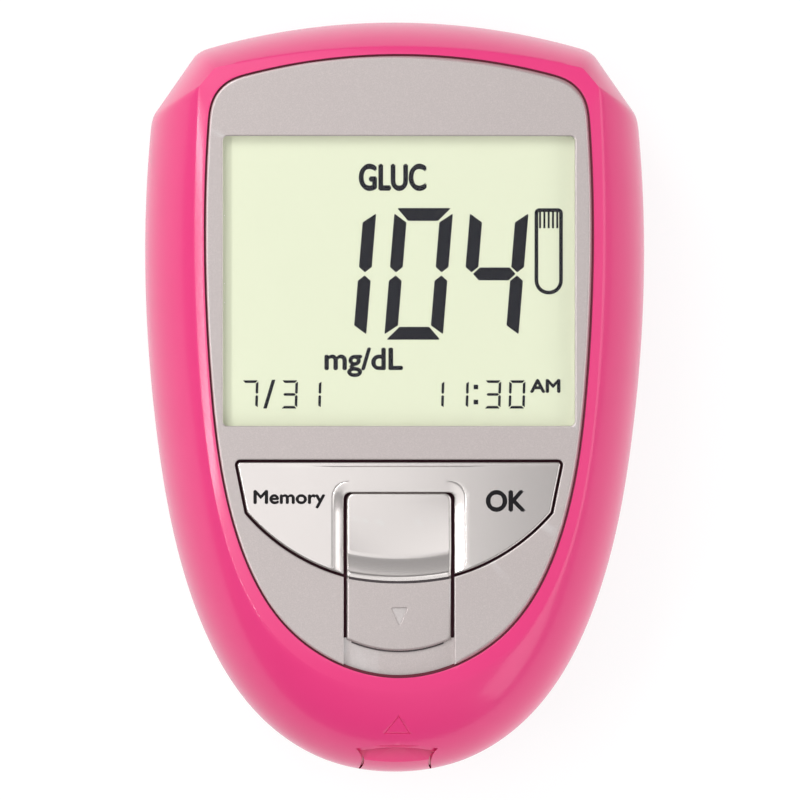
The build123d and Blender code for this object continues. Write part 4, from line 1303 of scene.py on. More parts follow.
    def build_screws(self) -> None:
        """The four screws: a rounded head with a cross recess, turned about its own axis, and a shank."""
        profile = [
            (0.0, 2.5), (1.15, 2.5), (1.55, 2.56), (1.8, 2.7), (1.9, 2.95), (1.9, 3.88), (1.82, 3.97),
            (0.95, 3.98), (0.95, 15.6), (0.6, 15.95), (0.0, 15.95),
        ]
        cross = [cuboid(-a, a, -b, b, 2.0, 3.4, 0.08) for a, b in ((1.15, 0.27), (0.27, 1.15))]
        surface = Surface(np.zeros((0, 3)), [])
        for x, y in self.screws:
            for side, turn in ((-1, 0.35), (1, -0.2)):
                made = carved(lathe(profile, 0.0, 0.0), Join.CUT, *cross)
                angle = turn + x
                spin = np.array(
                    [[math.cos(angle), math.sin(angle), 0], [-math.sin(angle), math.cos(angle), 0], [0, 0, 1]]
                )
                points = made.points @ spin + [side * x, y, 0]
                surface = surface.joined(Surface(points, made.faces))
        piece = place("case_screws", surface, self.skins[Skin.STEEL], "housing")
        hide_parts("housing_screws")

    def build(self) -> None:
        """Builds both shells, the port and the screws."""
        self.build_front()
        self.build_port()
        self.build_rear()
        self.build_screws()


# ============================================================================ face panel and display
@dataclass
class FacePanel:
    """The silver plate with its window, and the channel that the button slides in."""

    layout: Layout
    skins: Wardrobe
    window_half: float = 22.5
    window_low: float = -3.7
    window_high: float = 33.3
    key_gap: float = 0.35
    edge: float = 0.42
    opening_edge: float = 0.12
    channel_floor: float = 23.3
    gap_shade_out: float = 0.3
    gap_shade_in: float = 0.12
    gap_shade_top: float = 23.95
    gap_shade_low: float = 23.2

    def crossing(self, loop: Array, x: float) -> float:
        """Y of the loop's lowest crossing of an upright line."""
        after = np.roll(loop, -1, axis=0)
        hit = (loop[:, 0] - x) * (after[:, 0] - x) <= 0
        share = (x - loop[hit, 0]) / (after[hit, 0] - loop[hit, 0])
        return float((loop[hit, 1] + share * (after[hit, 1] - loop[hit, 1])).min())

    def outline(self) -> tuple[Array, Array]:
        """The plate's edge, run round the key opening and the channel, and the rounding at each point."""
        lay = self.layout
        half = lay.channel_half
        opening = lay.key_loop(self.key_gap)
        outer = lay.panel[~((np.abs(lay.panel[:, 0]) < half + 0.15) & (lay.panel[:, 1] < -20))]
        low = self.crossing(lay.panel, half)
        high = self.crossing(opening, half)
        notch = opening[~((np.abs(opening[:, 0]) < half + 0.15) & (opening[:, 1] < -15))]
        start = np.argmax(notch[:, 1] < -15) if notch[0, 0] > 0 else 0
        notch = np.roll(notch, -start, axis=0)
        notch = reversed_loop(notch)
        ends = np.array([(-half, low), (-half, high)])
        others = np.array([(half, high), (half, low)])
        loop = np.vstack([others[1:], outer, ends, notch, others[:1]])
        edge = np.full(len(loop), self.opening_edge)
        away = np.hypot(np.abs(outer[:, 0]) - half, outer[:, 1] - low)
        right = 0.3 + 0.7 * np.clip((outer[:, 0] + 6.0) / 12.0, 0, 1)
        edge[1 : len(outer) + 1] += (self.edge - self.opening_edge) * np.clip(away / 1.5, 0, 1) * right
        return loop, edge

    def build(self) -> None:
        """Builds the plate, the channel's floor, the dark ring of painted shade in the gap round the panel, and
        the lens.
        """
        lay = self.layout
        loop, edge = self.outline()
        window = box_loop(self.window_half, self.window_low, self.window_high, 0.6)
        plate = Plate(
            loop, flat(lay.panel_face), lay.deck_face + 0.02, rounding=edge, holes=[window],
            hole_rounding=0.15, straight=1.8, fall=0.6,
        )
        piece = place("panel_plate", plate.surface(), self.skins[Skin.SILVER], "housing")
        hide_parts("face_panel")
        self.build_channel()
        # painted shade: a thin dark maroon ring in the gap between the panel and the pink rim, in place of that
        # gap's shade
        joint = Plate(
            grown(lay.panel, self.gap_shade_out), flat(self.gap_shade_top), self.gap_shade_low, rounding=0.01,
            holes=[grown(lay.panel, -self.gap_shade_in)], hole_rounding=0.01, steps=1, support=0.005,
        )
        place("panel_gap_painted_shade", joint.surface(), self.skins[Skin.RIM_GAP_PAINTED_SHADE], "housing")
        lens = Plate(
            box_loop(self.window_half - 0.1, self.window_low + 0.1, self.window_high - 0.1, 0.5),
            flat(24.2), 23.0, rounding=0.12,
        )
        clear = place("lens", lens.surface(), self.skins[Skin.LENS], "housing")
        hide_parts("display_lens")

    def build_channel(self) -> None:
        """The floor that the button slides on: narrower than the button beside it, full width below it."""
        lay = self.layout
        wide = lay.channel_half + 0.02
        narrow, shoulder = 6.2, -30.7
        low = self.crossing(lay.panel, wide)
        bottom = lay.panel[(np.abs(lay.panel[:, 0]) < wide - 0.1) & (lay.panel[:, 1] < -20)]
        bottom = bottom[np.argsort(bottom[:, 0])]
        right = [(wide, low), (wide, shoulder), (narrow, shoulder), (narrow, -12.9)]
        left = [(-x, y) for x, y in reversed(right)]
        channel = Plate(
            np.vstack([bottom, right, left]), flat(self.channel_floor), lay.deck_face + 0.02,
            rounding=0.05, holes=[box_loop(2.9, -27.0, -17.6, 0.4)], steps=2, support=0.02,
        )
        place("panel_channel", channel.surface(), self.skins[Skin.SILVER], "housing")


# ============================================================================ rocker key and ejector
@dataclass
class RockerKey:
    """The D-shaped key plate with the sloped recess round the button."""

    layout: Layout
    skins: Wardrobe
    back: float = 23.3
    face: float = 24.3
    crown: float = 0.55
    recess_half: float = 8.46
    recess_top: float = -10.8
    recess_corner: float = 2.0
    slope_width: float = 1.25
    slope_depth: float = 0.62
    crease_depth: float = 0.05
    crease_width: float = 0.07
    outer_rounding: float = 0.25
    inner_rounding: float = 0.12

    def recess_distance(self, x: Array, y: Array) -> Array:
        """Signed distance to the recess's border, a rounded box open below; negative inside."""
        low = -60.0
        middle = (self.recess_top + low) / 2
        across = np.abs(x) - (self.recess_half - self.recess_corner)
        along = np.abs(y - middle) - ((self.recess_top - low) / 2 - self.recess_corner)
        outside = np.hypot(np.maximum(across, 0), np.maximum(along, 0))
        return outside + np.minimum(np.maximum(across, along), 0) - self.recess_corner

    def height(self, x: Array, y: Array) -> Array:
        """Height of the key: a crown that falls with the square of x, less the slope into the recess."""
        crowned = self.face + self.crown * (1 - (x / self.layout.key_half) ** 2)
        depth = np.clip(-self.recess_distance(x, y) / self.slope_width, 0, 1)
        eased = depth * depth * (3 - 2 * depth) * 0.35 + depth * 0.65
        crease = self.crease_depth * np.exp(-((self.recess_distance(x, y) / self.crease_width) ** 2))
        side = 0.15 + 0.85 * np.clip((self.recess_top - 1.3 - y) / 2.5, 0, 1)
        return crowned - self.slope_depth * eased * side - crease

    def recess_loop(self, inwards: float) -> Array:
        """The recess's border moved inwards, as an open line from lower right over the top to lower left."""
        half = self.recess_half - inwards
        top = self.recess_top - inwards
        radius = max(self.recess_corner - inwards * 0.85, 0.3)
        corners = [(half, -30.0), (half, top), (-half, top), (-half, -30.0)]
        loop = rounded_loop(corners, [0.1, radius, radius, 0.1], 10)
        return loop[11:33]

    def build(self) -> None:
        """Builds the key plate."""
        lay = self.layout
        outer = lay.key_loop()
        inner = self.recess_loop(self.recess_half - lay.channel_half)
        half = lay.channel_half
        panel = FacePanel(lay, self.skins)
        low = panel.crossing(outer, half)
        rest = outer[~((np.abs(outer[:, 0]) < half + 0.15) & (outer[:, 1] < -15))]
        start = int(np.argmax((rest[:, 0] > 0) & (rest[:, 1] < -15)))
        rest = np.roll(rest, -start, axis=0)
        left = np.array([(-half, low)])
        right = np.array([(half, low)])
        sides = np.linspace(inner[-1, 1], low, 14)[1:-1]
        up = np.column_stack([np.full(12, -half), sides[::-1]])
        down = np.column_stack([np.full(12, half), sides])
        loop = np.vstack([right, rest, left, up, inner[::-1], down])
        lines = []
        for inwards in (-0.22, -0.1, -0.05, 0.0, 0.05, 0.1, 0.22):
            border = self.recess_loop(inwards)
            run = np.linspace(border[0, 1], low + 0.45, 30)[1:]
            lower_right = np.column_stack([np.full(29, border[0, 0]), run])
            lower_left = lower_right * [-1, 1]
            lines += [border, lower_right, lower_left]
        lines = np.vstack(lines)
        lines = lines[within([grown(loop, -0.3)], lines)]
        edge = np.full(len(loop), self.outer_rounding)
        edge[1 + len(rest) :] = self.inner_rounding
        key = Plate(loop, self.height, self.back, rounding=edge, spacing=0.34, extra=lines, steps=5)
        surface = key.surface()
        for side in (-1, 1):
            post = prism(ring_loop(side * lay.post_x, lay.post_y, 1.4, 32), 20.6, self.back + 0.05)
            surface = surface.joined(post)
        lug = cuboid(-1.2, 1.2, -10.65, -9.15, 21.0, self.back + 0.05, 0.2)
        bore = lying(prism(ring_loop(0.0, 0.0, 0.55), 0.0, 4.0), 0.0, -12.0, 22.0)
        surface = surface.joined(carved(lug, Join.CUT, bore))
        piece = place("key_plate", surface, self.skins[Skin.KEY_SILVER], "rocker", 30.0)
        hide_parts("rocker_key")
        for name, words in (
            ("key_label_left", Words("Memory", -18.6, -9.42, -14.2, -11.86, 0.085)),
            ("key_label_right", Words("OK", 11.06, 16.2, -14.66, -11.86, 0.13)),
        ):
            place(name, words.surface(self.height), self.skins[Skin.PRINT], "rocker", 30.0)


@dataclass
class EjectorButton:
    """The thumb slider: hollowed head, rolled step and apron."""

    layout: Layout
    skins: Wardrobe
    half: float = 6.67
    top: float = -12.3
    end: float = -32.4
    end_radius: float = 15.6
    corner: float = 0.9
    apron_face: float = 24.15
    bottom: float = 23.4
    head_rise: float = 0.75
    hollow: float = 0.35
    step_radius: float = 35.0
    step_foot: float = -23.5
    roll: float = 3.3
    crest_rounding: float = 0.7
    step_slope: float = 0.37
    foot_slope: float = 0.21
    lip: float = 0.54
    valley_depth: float = 0.07
    valley_width: float = 0.08
    rings: tuple[float, ...] = (
        -3.45, -3.3, -3.15, -3.0, -2.85, -2.7, -2.55, -2.3, -1.9, -1.5, -1.1, -0.9, -0.78, -0.7, -0.62, -0.54,
        -0.46, -0.36, -0.24, -0.12, -0.03, 0.03, 0.08, 0.12, 0.16, 0.2, 0.26, 0.34, 0.5,
    )
    crease_depth: float = 0.34
    crease_start: float = 0.12
    crease_width: float = 0.11
    apron_fall: float = 0.3
    apron_reach: float = 8.5

    def outline(self) -> Array:
        """The button from above: rounded top corners, straight sides and an arc at its lower end."""
        side = self.end + self.end_radius - math.sqrt(self.end_radius**2 - self.half**2)
        lower = arc_through((-self.half, side), (0, self.end), (self.half, side), 40)
        corners = [(self.half, side), (self.half, self.top), (-self.half, self.top), (-self.half, side)]
        upper = rounded_loop(corners, [0.1, self.corner, self.corner, 0.1], 8)[9:27]
        side_y = np.linspace(side, self.top - self.corner, 112)[1:-1]
        right = np.column_stack([np.full(110, self.half), side_y])
        return np.vstack([lower, right, upper, right[::-1] * [-1, 1]])

    def height(self, x: Array, y: Array) -> Array:
        """Height over the button: with r the distance from the step's centre, the head is a shallow
        parabola, the step a slope that eases towards a flat lip, and the apron falls with the square of r."""
        centre = self.step_foot + self.step_radius
        r = np.hypot(x, y - centre)
        crest = self.step_radius - self.roll
        inner = centre - self.top - 0.3
        middle = (inner + crest) / 2
        reach = (crest - inner) / 2
        bowl = np.clip(1 - ((r - middle) / reach) ** 2, 0, 1)
        head = self.apron_face + self.head_rise - self.hollow * bowl
        past = np.clip(r - crest, 0, self.roll)
        rounding = self.crest_rounding
        length = self.roll - self.lip - rounding
        down = np.clip(past - rounding, 0, length)
        fallen = self.step_slope * (np.minimum(past, rounding) ** 2 / (2 * rounding) + down)
        fallen = fallen - (self.step_slope - self.foot_slope) * down**2 / (2 * length)
        valley = self.valley_depth * np.exp(-(((past - self.roll + self.lip) / self.valley_width) ** 2))
        rolled = self.apron_face + self.head_rise - fallen - valley
        past = (r - self.step_radius - self.crease_start) / self.crease_width
        lip = self.apron_face - self.crease_depth * np.exp(-(past**2))
        seat = np.where(r < self.step_radius + self.crease_start, lip, self.apron_face - self.crease_depth)
        return np.where(r < crest, head, np.where(r < self.step_radius, rolled, seat))

    def apron_height(self, x: Array, y: Array) -> Array:
        """Height over the apron: it falls with the square of the distance from the step's foot."""
        r = np.hypot(x, y - self.step_foot - self.step_radius)
        return self.apron_face - self.apron_fall * (np.clip(r - self.step_radius, 0, 9) / self.apron_reach) ** 2

    def apron_plate(self) -> Surface:
        """The plate let into the slider below the step, with the engraved arrow."""
        centre = self.step_foot + self.step_radius
        radius = self.step_radius + 0.31
        half = self.half - 0.03
        low = self.outline()[:40] * [half / self.half, 1.0] + [0.0, 0.03]
        across = np.linspace(half, -half, 60)
        high = np.column_stack([across, centre - np.sqrt(radius**2 - across**2)])
        side = np.linspace(low[-1, 1], high[0, 1], 14)[1:-1]
        right = np.column_stack([np.full(12, half), side])
        loop = np.vstack([low, right, high, right[::-1] * [-1, 1]])
        away = np.hypot(loop[:, 0], loop[:, 1] - centre) - radius
        edge = 0.05 + 0.22 * np.clip(away / 0.5, 0, 1)
        arrow = rounded_loop([(-0.98, -26.9), (0.1, -29.25), (1.1, -26.9)], [0.12] * 3, 3)
        plate = Plate(
            loop, self.apron_height, self.apron_face - 0.5, rounding=edge, spacing=0.4, holes=[arrow],
            hole_rounding=0.1,
        )
        floor = prism(grown(arrow, 0.05), self.apron_face - 0.45, self.apron_face - 0.3)
        return plate.surface().joined(floor)

    def foot(self) -> Surface:
        """A painted shadow under the slider's lower end: a thin dark bar that follows its outline."""
        arc = self.outline()[2:38]
        loop = np.vstack([arc - [0.0, 0.17], arc[::-1] + [0.0, 0.25]])
        return prism(loop, self.bottom - 0.06, self.bottom + 0.1)

    def groove_painted_shade(self) -> Surface:
        """Painted shade in the groove between the lip and the apron: a thin dark bar along the step's arc."""
        centre = self.step_foot + self.step_radius
        across = np.linspace(-6.45, 6.45, 60)
        arcs = [centre - np.sqrt((self.step_radius + r) ** 2 - across**2) for r in (0.29, 0.02)]
        loop = np.vstack([np.column_stack([across, arcs[0]]), np.column_stack([across, arcs[1]])[::-1]])
        return prism(loop, self.apron_face - 0.4, self.apron_face - 0.13)

    def build(self) -> None:
        """Builds the button."""
        loop = self.outline()
        centre = self.step_foot + self.step_radius
        lines = []
        for r in self.rings:
            across = np.linspace(-6.3, 6.3, 72)
            lines.append(np.column_stack([across, centre - np.sqrt((self.step_radius + r) ** 2 - across**2)]))
        button = Plate(
            loop, self.height, self.bottom, rounding=0.3, spacing=0.22, extra=np.vstack(lines), steps=6
        )
        surface = button.surface().joined(cuboid(-2.5, 2.5, -24.0, -18.0, 20.85, self.bottom + 0.05, 0.4))
        piece = place("button", surface, self.skins[Skin.KEY_SILVER], "ejector", 40.0)
        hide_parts("ejector_button")
        # painted shade: a dark bar in the groove at the step's foot
        place("button_groove_painted_shade", self.groove_painted_shade(), self.skins[Skin.SEAM], "ejector")
        place("button_apron", self.apron_plate(), self.skins[Skin.SILVER], "ejector", 40.0)
        # painted shadow: a dark bar under the slider's lower end
        place("button_painted_shadow", self.foot(), self.skins[Skin.SEAM], "ejector")


# ============================================================================ back
def face_down(surface: Surface) -> Surface:
    """A plate that looks up, mirrored to look down."""
    return Surface(surface.points * [1, 1, -1], surface.faces).turned()


@dataclass
class BatteryDoor:
    """The door in the back: rounded plate with grip grooves, hook tabs, a latch and ribs for the cells."""

    layout: Layout
    skins: Wardrobe
    half: float = 12.65
    low: float = -15.35
    high: float = 37.35
    face: float = 0.2
    back: float = 1.6
    grooves: tuple[float, ...] = (34.45, 33.25, 32.05, 30.85)
    groove_half: float = 0.42
    groove_reach: float = 5.6
    groove_depth: float = 0.34
    cell_x: float = 5.4
    cell_z: float = 7.15

    def height(self, x: Array, y: Array) -> Array:
        """Height of the outer face, looking down: each groove is half an ellipse across its line."""
        height = np.full(np.shape(x), -self.face)
        for middle in self.grooves:
            away = np.hypot(np.maximum(np.abs(x) - self.groove_reach, 0), y - middle) / self.groove_half
            height = height - self.groove_depth * np.sqrt(np.clip(1 - away**2, 0, 1))
        return height

    def groove_points(self) -> Array:
        """Points along each groove, closer together at its edges."""
        across = np.linspace(-self.groove_reach, self.groove_reach, 30)
        rows = []
        for middle in self.grooves:
            for share in (-1.04, -0.98, -0.85, -0.55, 0.0, 0.55, 0.85, 0.98, 1.04):
                rows.append(np.column_stack([across, np.full(30, middle + share * self.groove_half)]))
            for share in (0.3, 0.6, 0.85, 0.98, 1.04):
                angle = np.linspace(-1.3, 1.3, 9)
                x = self.groove_reach + share * self.groove_half * np.cos(angle)
                y = middle + share * self.groove_half * np.sin(angle)
                rows += [np.column_stack([x, y]), np.column_stack([-x, y])]
        return np.vstack(rows)

    def build(self) -> None:
        """Builds the door."""
        outline = box_loop(self.half, self.low, self.high, 2.0)
        plate = Plate(outline, self.height, -self.back, rounding=0.3, extra=self.groove_points(), spacing=2.0)
        door = make_object("door_plate", face_down(plate.surface()))
        for side in (-1, 1):
            near, far = sorted((side * 8.2, side * 10.4))
            combine(door, cuboid(near, far, -15.05, -13.95, self.back - 0.1, 3.0), Join.ADD)
            combine(door, cuboid(near, far, -16.85, -13.95, 2.1, 3.0, 0.15), Join.ADD)
        combine(door, cuboid(-5.0, 5.0, 36.1, 36.8, self.back - 0.1, 4.4), Join.ADD)
        combine(door, cuboid(-4.3, 4.3, 36.7, 37.25, 2.3, 3.0), Join.ADD)
        for y in (-1.325, 11.0, 23.325):
            combine(door, cuboid(-10.65, 10.65, y, y + 1.0, self.back - 0.1, 4.6), Join.ADD)
        for side in (-1, 1):
            upright = prism(ring_loop(0.0, 0.0, 5.5, 64), 0.0, 40.0)
            combine(door, lying(upright, side * self.cell_x, -8.0, self.cell_z), Join.CUT)
        settle(door, self.skins[Skin.PINK], "door", 36.0)
        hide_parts("battery_door")


@dataclass
class Cell:
    """One cell: a steel can with a nub, a printed sleeve with a lighter band, and its two signs."""

    skins: Wardrobe
    name: str
    x: float
    minus: float
    way: int
    z: float = 7.15
    radius: float = 5.25
    length: float = 44.5

    def revolved(self, profile: Sequence[tuple[float, float]]) -> Surface:
        """A profile of radii and distances from the negative end, turned about the cell's axis."""
        surface = lathe(profile, 0.0, 0.0, 64)
        surface = Surface(surface.points * [self.way, 1, self.way], surface.faces)
        return lying(surface, self.x, self.minus, self.z)

    def sleeve_height(self, x: Array, y: Array) -> Array:
        """Height of the sleeve's underside, looking down: the circle of the sleeve about the cell's axis."""
        return np.sqrt(self.radius**2 - (x - self.x) ** 2) - self.z + 0.012 + 0 * y

    def sign(self, length: float, cross: bool) -> Surface:
        """A plus or minus sign that lies on the sleeve.

        Args:
            length: its distance from the negative end.
            cross: whether it is a plus sign.

        Returns:
            The sign, looking down.
        """
        middle = self.minus + self.way * length
        bar, reach = 0.35, 1.4
        if cross:
            loop = np.array(
                [
                    (bar, bar), (bar, reach), (-bar, reach), (-bar, bar), (-reach, bar), (-reach, -bar),
                    (-bar, -bar), (-bar, -reach), (bar, -reach), (bar, -bar), (reach, -bar), (reach, bar),
                ]
            )
        else:
            loop = np.array([(-reach, -bar), (reach, -bar), (reach, bar), (-reach, bar)])
        ahead = np.roll(loop, -1, axis=0)
        share = np.linspace(0, 1, 5)[:-1][None, :, None]
        loop = (loop[:, None] * (1 - share) + ahead[:, None] * share).reshape(-1, 2) + [self.x, middle]
        plate = Plate(loop, self.sleeve_height, -2.7, rounding=0.01, steps=1, support=0.02, spacing=0.3)
        return face_down(plate.surface())

    def build(self) -> None:
        """Builds the cell's pieces."""
        r, end = self.radius, self.length
        can = [
            (0.0, 0.25), (2.4, 0.25), (2.55, 0.02), (3.9, 0.0), (4.4, 0.08), (4.9, 0.35), (r - 0.06, 0.75),
            (r - 0.06, end - 2.1), (r - 0.25, end - 1.7), (4.6, end - 1.4), (3.2, end - 1.2),
            (2.3, end - 1.05), (1.9, end - 0.85), (1.86, end - 0.15), (1.7, end), (0.0, end),
        ]
        piece = place(f"{self.name}_can", self.revolved(can), self.skins[Skin.STEEL], "housing", 40.0)
        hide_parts(f"battery_{self.name}")
        sleeve = [
            (r - 0.1, 0.6), (r - 0.02, 0.62), (r, 0.72), (r, end - 11.0), (r - 0.1, end - 11.0)
        ]
        place(f"{self.name}_sleeve", self.revolved(sleeve), self.skins[Skin.SLEEVE], "housing", 40.0)
        band = [
            (r - 0.1, end - 11.0), (r, end - 11.0), (r, end - 2.3), (r - 0.03, end - 2.15), (r - 0.12, end - 2.1)
        ]
        place(f"{self.name}_band", self.revolved(band), self.skins[Skin.SLEEVE_BAND], "housing", 40.0)
        place(f"{self.name}_plus", self.sign(end - 6.5, True), self.skins[Skin.SLEEVE], "housing", 30.0)
        place(f"{self.name}_minus", self.sign(5.5, False), self.skins[Skin.SLEEVE_BAND], "housing", 30.0)


# ============================================================================ display and lettering
SEGMENTS: dict[str, str] = {
    "0": "abcdef", "1": "bc", "3": "abcdg", "4": "bcfg", "7": "abc",
}


@dataclass(frozen=True)
class Digits:
    """Seven-segment digits: a cell's width and height, the bars, the joints between them and the slant."""

    width: float
    height: float
    bar: float
    joint: float
    slant: float
    point: float = 0.42
    corner: float = 0.08

    def segment(self, letter: str) -> Array:
        """One segment in an upright cell whose lower left corner is the origin.

        Args:
            letter: a to g, clockwise from the top, g in the middle.

        Returns:
            Anticlockwise loop.
        """
        w, h, t, c = self.width, self.height, self.bar, self.joint
        half, tip = h / 2, self.point * t
        if letter == "a":
            return np.array([(c + 0.06 * t, h), (c + t, h - t), (w - c - t, h - t), (w - c - 0.06 * t, h)])
        if letter == "d":
            return self.segment("a")[::-1] * [1, -1] + [0, h]
        if letter == "b":
            shoulder = half + c + tip
            upper = [(w, h - c - 0.3 * t), (w - t, h - c - t)]
            return np.array([*upper, (w - t, shoulder), (w - t / 2, half + c), (w, shoulder)])
        if letter == "c":
            return self.segment("b")[::-1] * [1, -1] + [0, h]
        if letter == "e":
            return self.segment("c")[::-1] * [-1, 1] + [w, 0]
        if letter == "f":
            return self.segment("b")[::-1] * [-1, 1] + [w, 0]
        left = t / 2 + c
        return np.array(
            [
                (left, half), (left + t / 2, half - t / 2), (w - left - t / 2, half - t / 2),
                (w - left, half), (w - left - t / 2, half + t / 2), (left + t / 2, half + t / 2),
            ]
        )

    def write(self, digit: str, right: float, low: float) -> list[Array]:
        """A digit's segments in their place, leaning to the right.

        Args:
            digit: the digit.
            right: X of the cell's upper right corner.
            low: Y of its lower edge.

        Returns:
            One loop for each lit segment.
        """
        loops = []
        for letter in SEGMENTS[digit]:
            loop = self.segment(letter)
            loop = rounded_loop(loop, [self.corner] * len(loop), 2)
            shift = right - self.width - self.slant * self.height
            loops.append(np.column_stack([loop[:, 0] + shift + self.slant * loop[:, 1], loop[:, 1] + low]))
        return loops


def sheet_of(loops: Sequence[Array], low: float, high: float) -> Surface:
    """Thin prisms over several loops as one surface."""
    surface = prism(loops[0], low, high)
    for loop in loops[1:]:
        surface = surface.joined(prism(loop, low, high))
    return surface


@dataclass(frozen=True)
class Words:
    """A short word in the built-in plain font, fitted into a box, bold by copies moved by its weight."""

    text: str
    left: float
    right: float
    low: float
    high: float
    weight: float = 0.0
    thickness: float = 0.012

    def surface(self, height: Callable[[Array, Array], Array]) -> Surface:
        """The word as a thin closed mesh that lies on a height function.

        Args:
            height: height of the surface under each place.

        Returns:
            The surface; its letters' box runs from left to right and from low to high.
        """
        curve = bpy.data.curves.new("word", "FONT")
        curve.body = self.text
        curve.extrude = 0.5
        curve.resolution_u = 6
        word = bpy.data.objects.new("word", curve)
        bpy.context.scene.collection.objects.link(word)
        depsgraph = bpy.context.evaluated_depsgraph_get()
        mesh = bpy.data.meshes.new_from_object(word.evaluated_get(depsgraph))
        surface = read_mesh(mesh)
        bpy.data.objects.remove(word)
        bpy.data.curves.remove(curve)
        bpy.data.meshes.remove(mesh)
        p = surface.points
        low, high = p.min(axis=0), p.max(axis=0)
        share = (p - low) / (high - low)
        bold = self.weight
        x = self.left + bold + share[:, 0] * (self.right - self.left - 2 * bold)
        y = self.low + bold + share[:, 1] * (self.high - self.low - 2 * bold)
        word = Surface(np.zeros((0, 3)), [])
        for step, (across, up) in enumerate(((0, 0), (-1, 0), (1, 0), (0, -1), (0, 1))[: 5 if bold else 1]):
            px, py = x + across * bold, y + up * bold
            z = height(px, py) + 0.003 + 0.001 * step + share[:, 2] * self.thickness
            word = word.joined(Surface(np.column_stack([px, py, z]), surface.faces))
        return word


def read_mesh(mesh: bpy.types.Mesh) -> Surface:
    """A mesh's points and faces, unscaled.

    Args:
        mesh: the mesh.

    Returns:
        The surface, its faces sorted by their number of corners.
    """
    points = np.empty(len(mesh.vertices) * 3)
    mesh.vertices.foreach_get("co", points)
    sizes = np.empty(len(mesh.polygons), dtype=np.int32)
    mesh.polygons.foreach_get("loop_total", sizes)
    corners = np.empty(len(mesh.loops), dtype=np.int32)
    mesh.loops.foreach_get("vertex_index", corners)
    starts = np.concatenate([[0], np.cumsum(sizes)[:-1]])
    faces = [corners[starts[sizes == size][:, None] + np.arange(size)] for size in np.unique(sizes)]
    return Surface(points.reshape(-1, 3), faces)


@dataclass
class Display:
    """What the liquid crystal display shows: result, unit, strip symbol, date and time."""

    skins: Wardrobe
    low: float = 22.908
    high: float = 22.93
    large: Digits = Digits(7.47, 16.8, 1.63, 0.2, 0.082)
    small: Digits = Digits(2.08, 3.6, 0.33, 0.07, 0.03, corner=0.03)

    def build(self) -> None:
        """Builds the readout on the glass."""
        loops = []
        for digit, right in (("1", -2.82), ("0", 6.98), ("4", 16.64)):
            loops += self.large.write(digit, right, 7.32)
        self.show("readout_result", loops)
        loops = []
        date = (("7", -17.9), ("3", -12.85), ("1", -9.85))
        time = (("1", 5.85), ("1", 8.98), ("3", 13.12), ("0", 16.22))
        for digit, right in date + time:
            loops += self.small.write(digit, right, -1.47)
        for y in (1.28, -0.64):
            loops.append(box_loop(0.29, y - 0.29, y + 0.29, 0.05, 9.87))
        slash = [(-17.3, -1.47), (-16.85, -1.47), (-15.75, 2.2), (-16.2, 2.2)]
        loops.append(rounded_loop(slash, [0.05] * 4, 2))
        self.show("readout_date_and_time", loops)
        self.strip_symbol()
        for name, words in (
            ("readout_kind", Words("GLUC", -5.1, 3.57, 26.3, 29.8, 0.14)),
            ("readout_unit", Words("mg/dL", -9.48, 0.55, 2.55, 6.33, 0.1)),
            ("readout_half_day", Words("AM", 16.78, 20.68, 0.53, 2.3, 0.09)),
        ):
            place(name, words.surface(flat(self.low)), self.skins[Skin.SEGMENT], "housing", 30.0)

    def show(self, name: str, loops: Sequence[Array]) -> None:
        """Thin dark shapes on the glass."""
        place(name, sheet_of(loops, self.low, self.high), self.skins[Skin.SEGMENT], "housing", 30.0)

    def strip_symbol(self) -> None:
        """A test strip: a rounded frame, open inside, with contact bars at its upper end."""
        corners = [(17.37, 13.1), (20.98, 13.1), (20.98, 24.1), (17.37, 24.1)]
        outer = rounded_loop(corners, [1.78, 1.78, 0.62, 0.62], 10)
        inner = grown(outer, -0.47)
        frame_shape = Plate(
            outer, flat(self.high), self.low, rounding=0.003, holes=[inner], hole_rounding=0.003, steps=1,
            support=0.002,
        )
        place("readout_strip", frame_shape.surface(), self.skins[Skin.SEGMENT], "housing", 30.0)
        bars = [box_loop(0.13, 21.55, 23.75, 0.03, x) for x in (18.07, 18.62, 19.17, 19.72, 20.27)]
        self.show("readout_strip_bars", bars)


# ============================================================================ CAD nodes that stay
CARRIED: dict[str, Skin] = {
    "lcd_glass": Skin.DISPLAY,
    "lcd_frame": Skin.WHITE_PLASTIC,
    "zebra_strips": Skin.RUBBER,
    "main_board": Skin.BOARD,
    "microcontroller": Skin.CHIP,
    "memory_chip": Skin.CHIP,
    "crystal": Skin.STEEL,
    "chip_components": Skin.CHIP,
    "buzzer": Skin.BLACK_PLASTIC,
    "key_switches": Skin.BLACK_PLASTIC,
    "key_pin": Skin.STEEL,
    "ejector_carriage": Skin.WHITE_PLASTIC,
    "ejector_screw": Skin.STEEL,
    "ejector_springs": Skin.STEEL,
    "strip_connector": Skin.BLACK_PLASTIC,
    "strip_contacts": Skin.GOLD,
    "battery_springs": Skin.STEEL,
    "battery_contacts": Skin.STEEL,
    "battery_bridge": Skin.STEEL,
    "board_screws": Skin.STEEL,
}


def dress_carried(skins: Wardrobe) -> None:
    """Gives every CAD node that stays its finish.

    Args:
        skins: the finishes.
    """
    for name, skin in CARRIED.items():
        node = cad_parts[name]
        node.data.materials.clear()
        node.data.materials.append(skins[skin])
        log.info("%s: dressed as %s", name, skin.value.name)


# ============================================================================ studio
@dataclass(frozen=True)
class Glow:
    """A soft glow in the world: its middle's direction, the power that narrows it and its strength."""

    middle: tuple[float, float, float]
    power: float
    strength: float


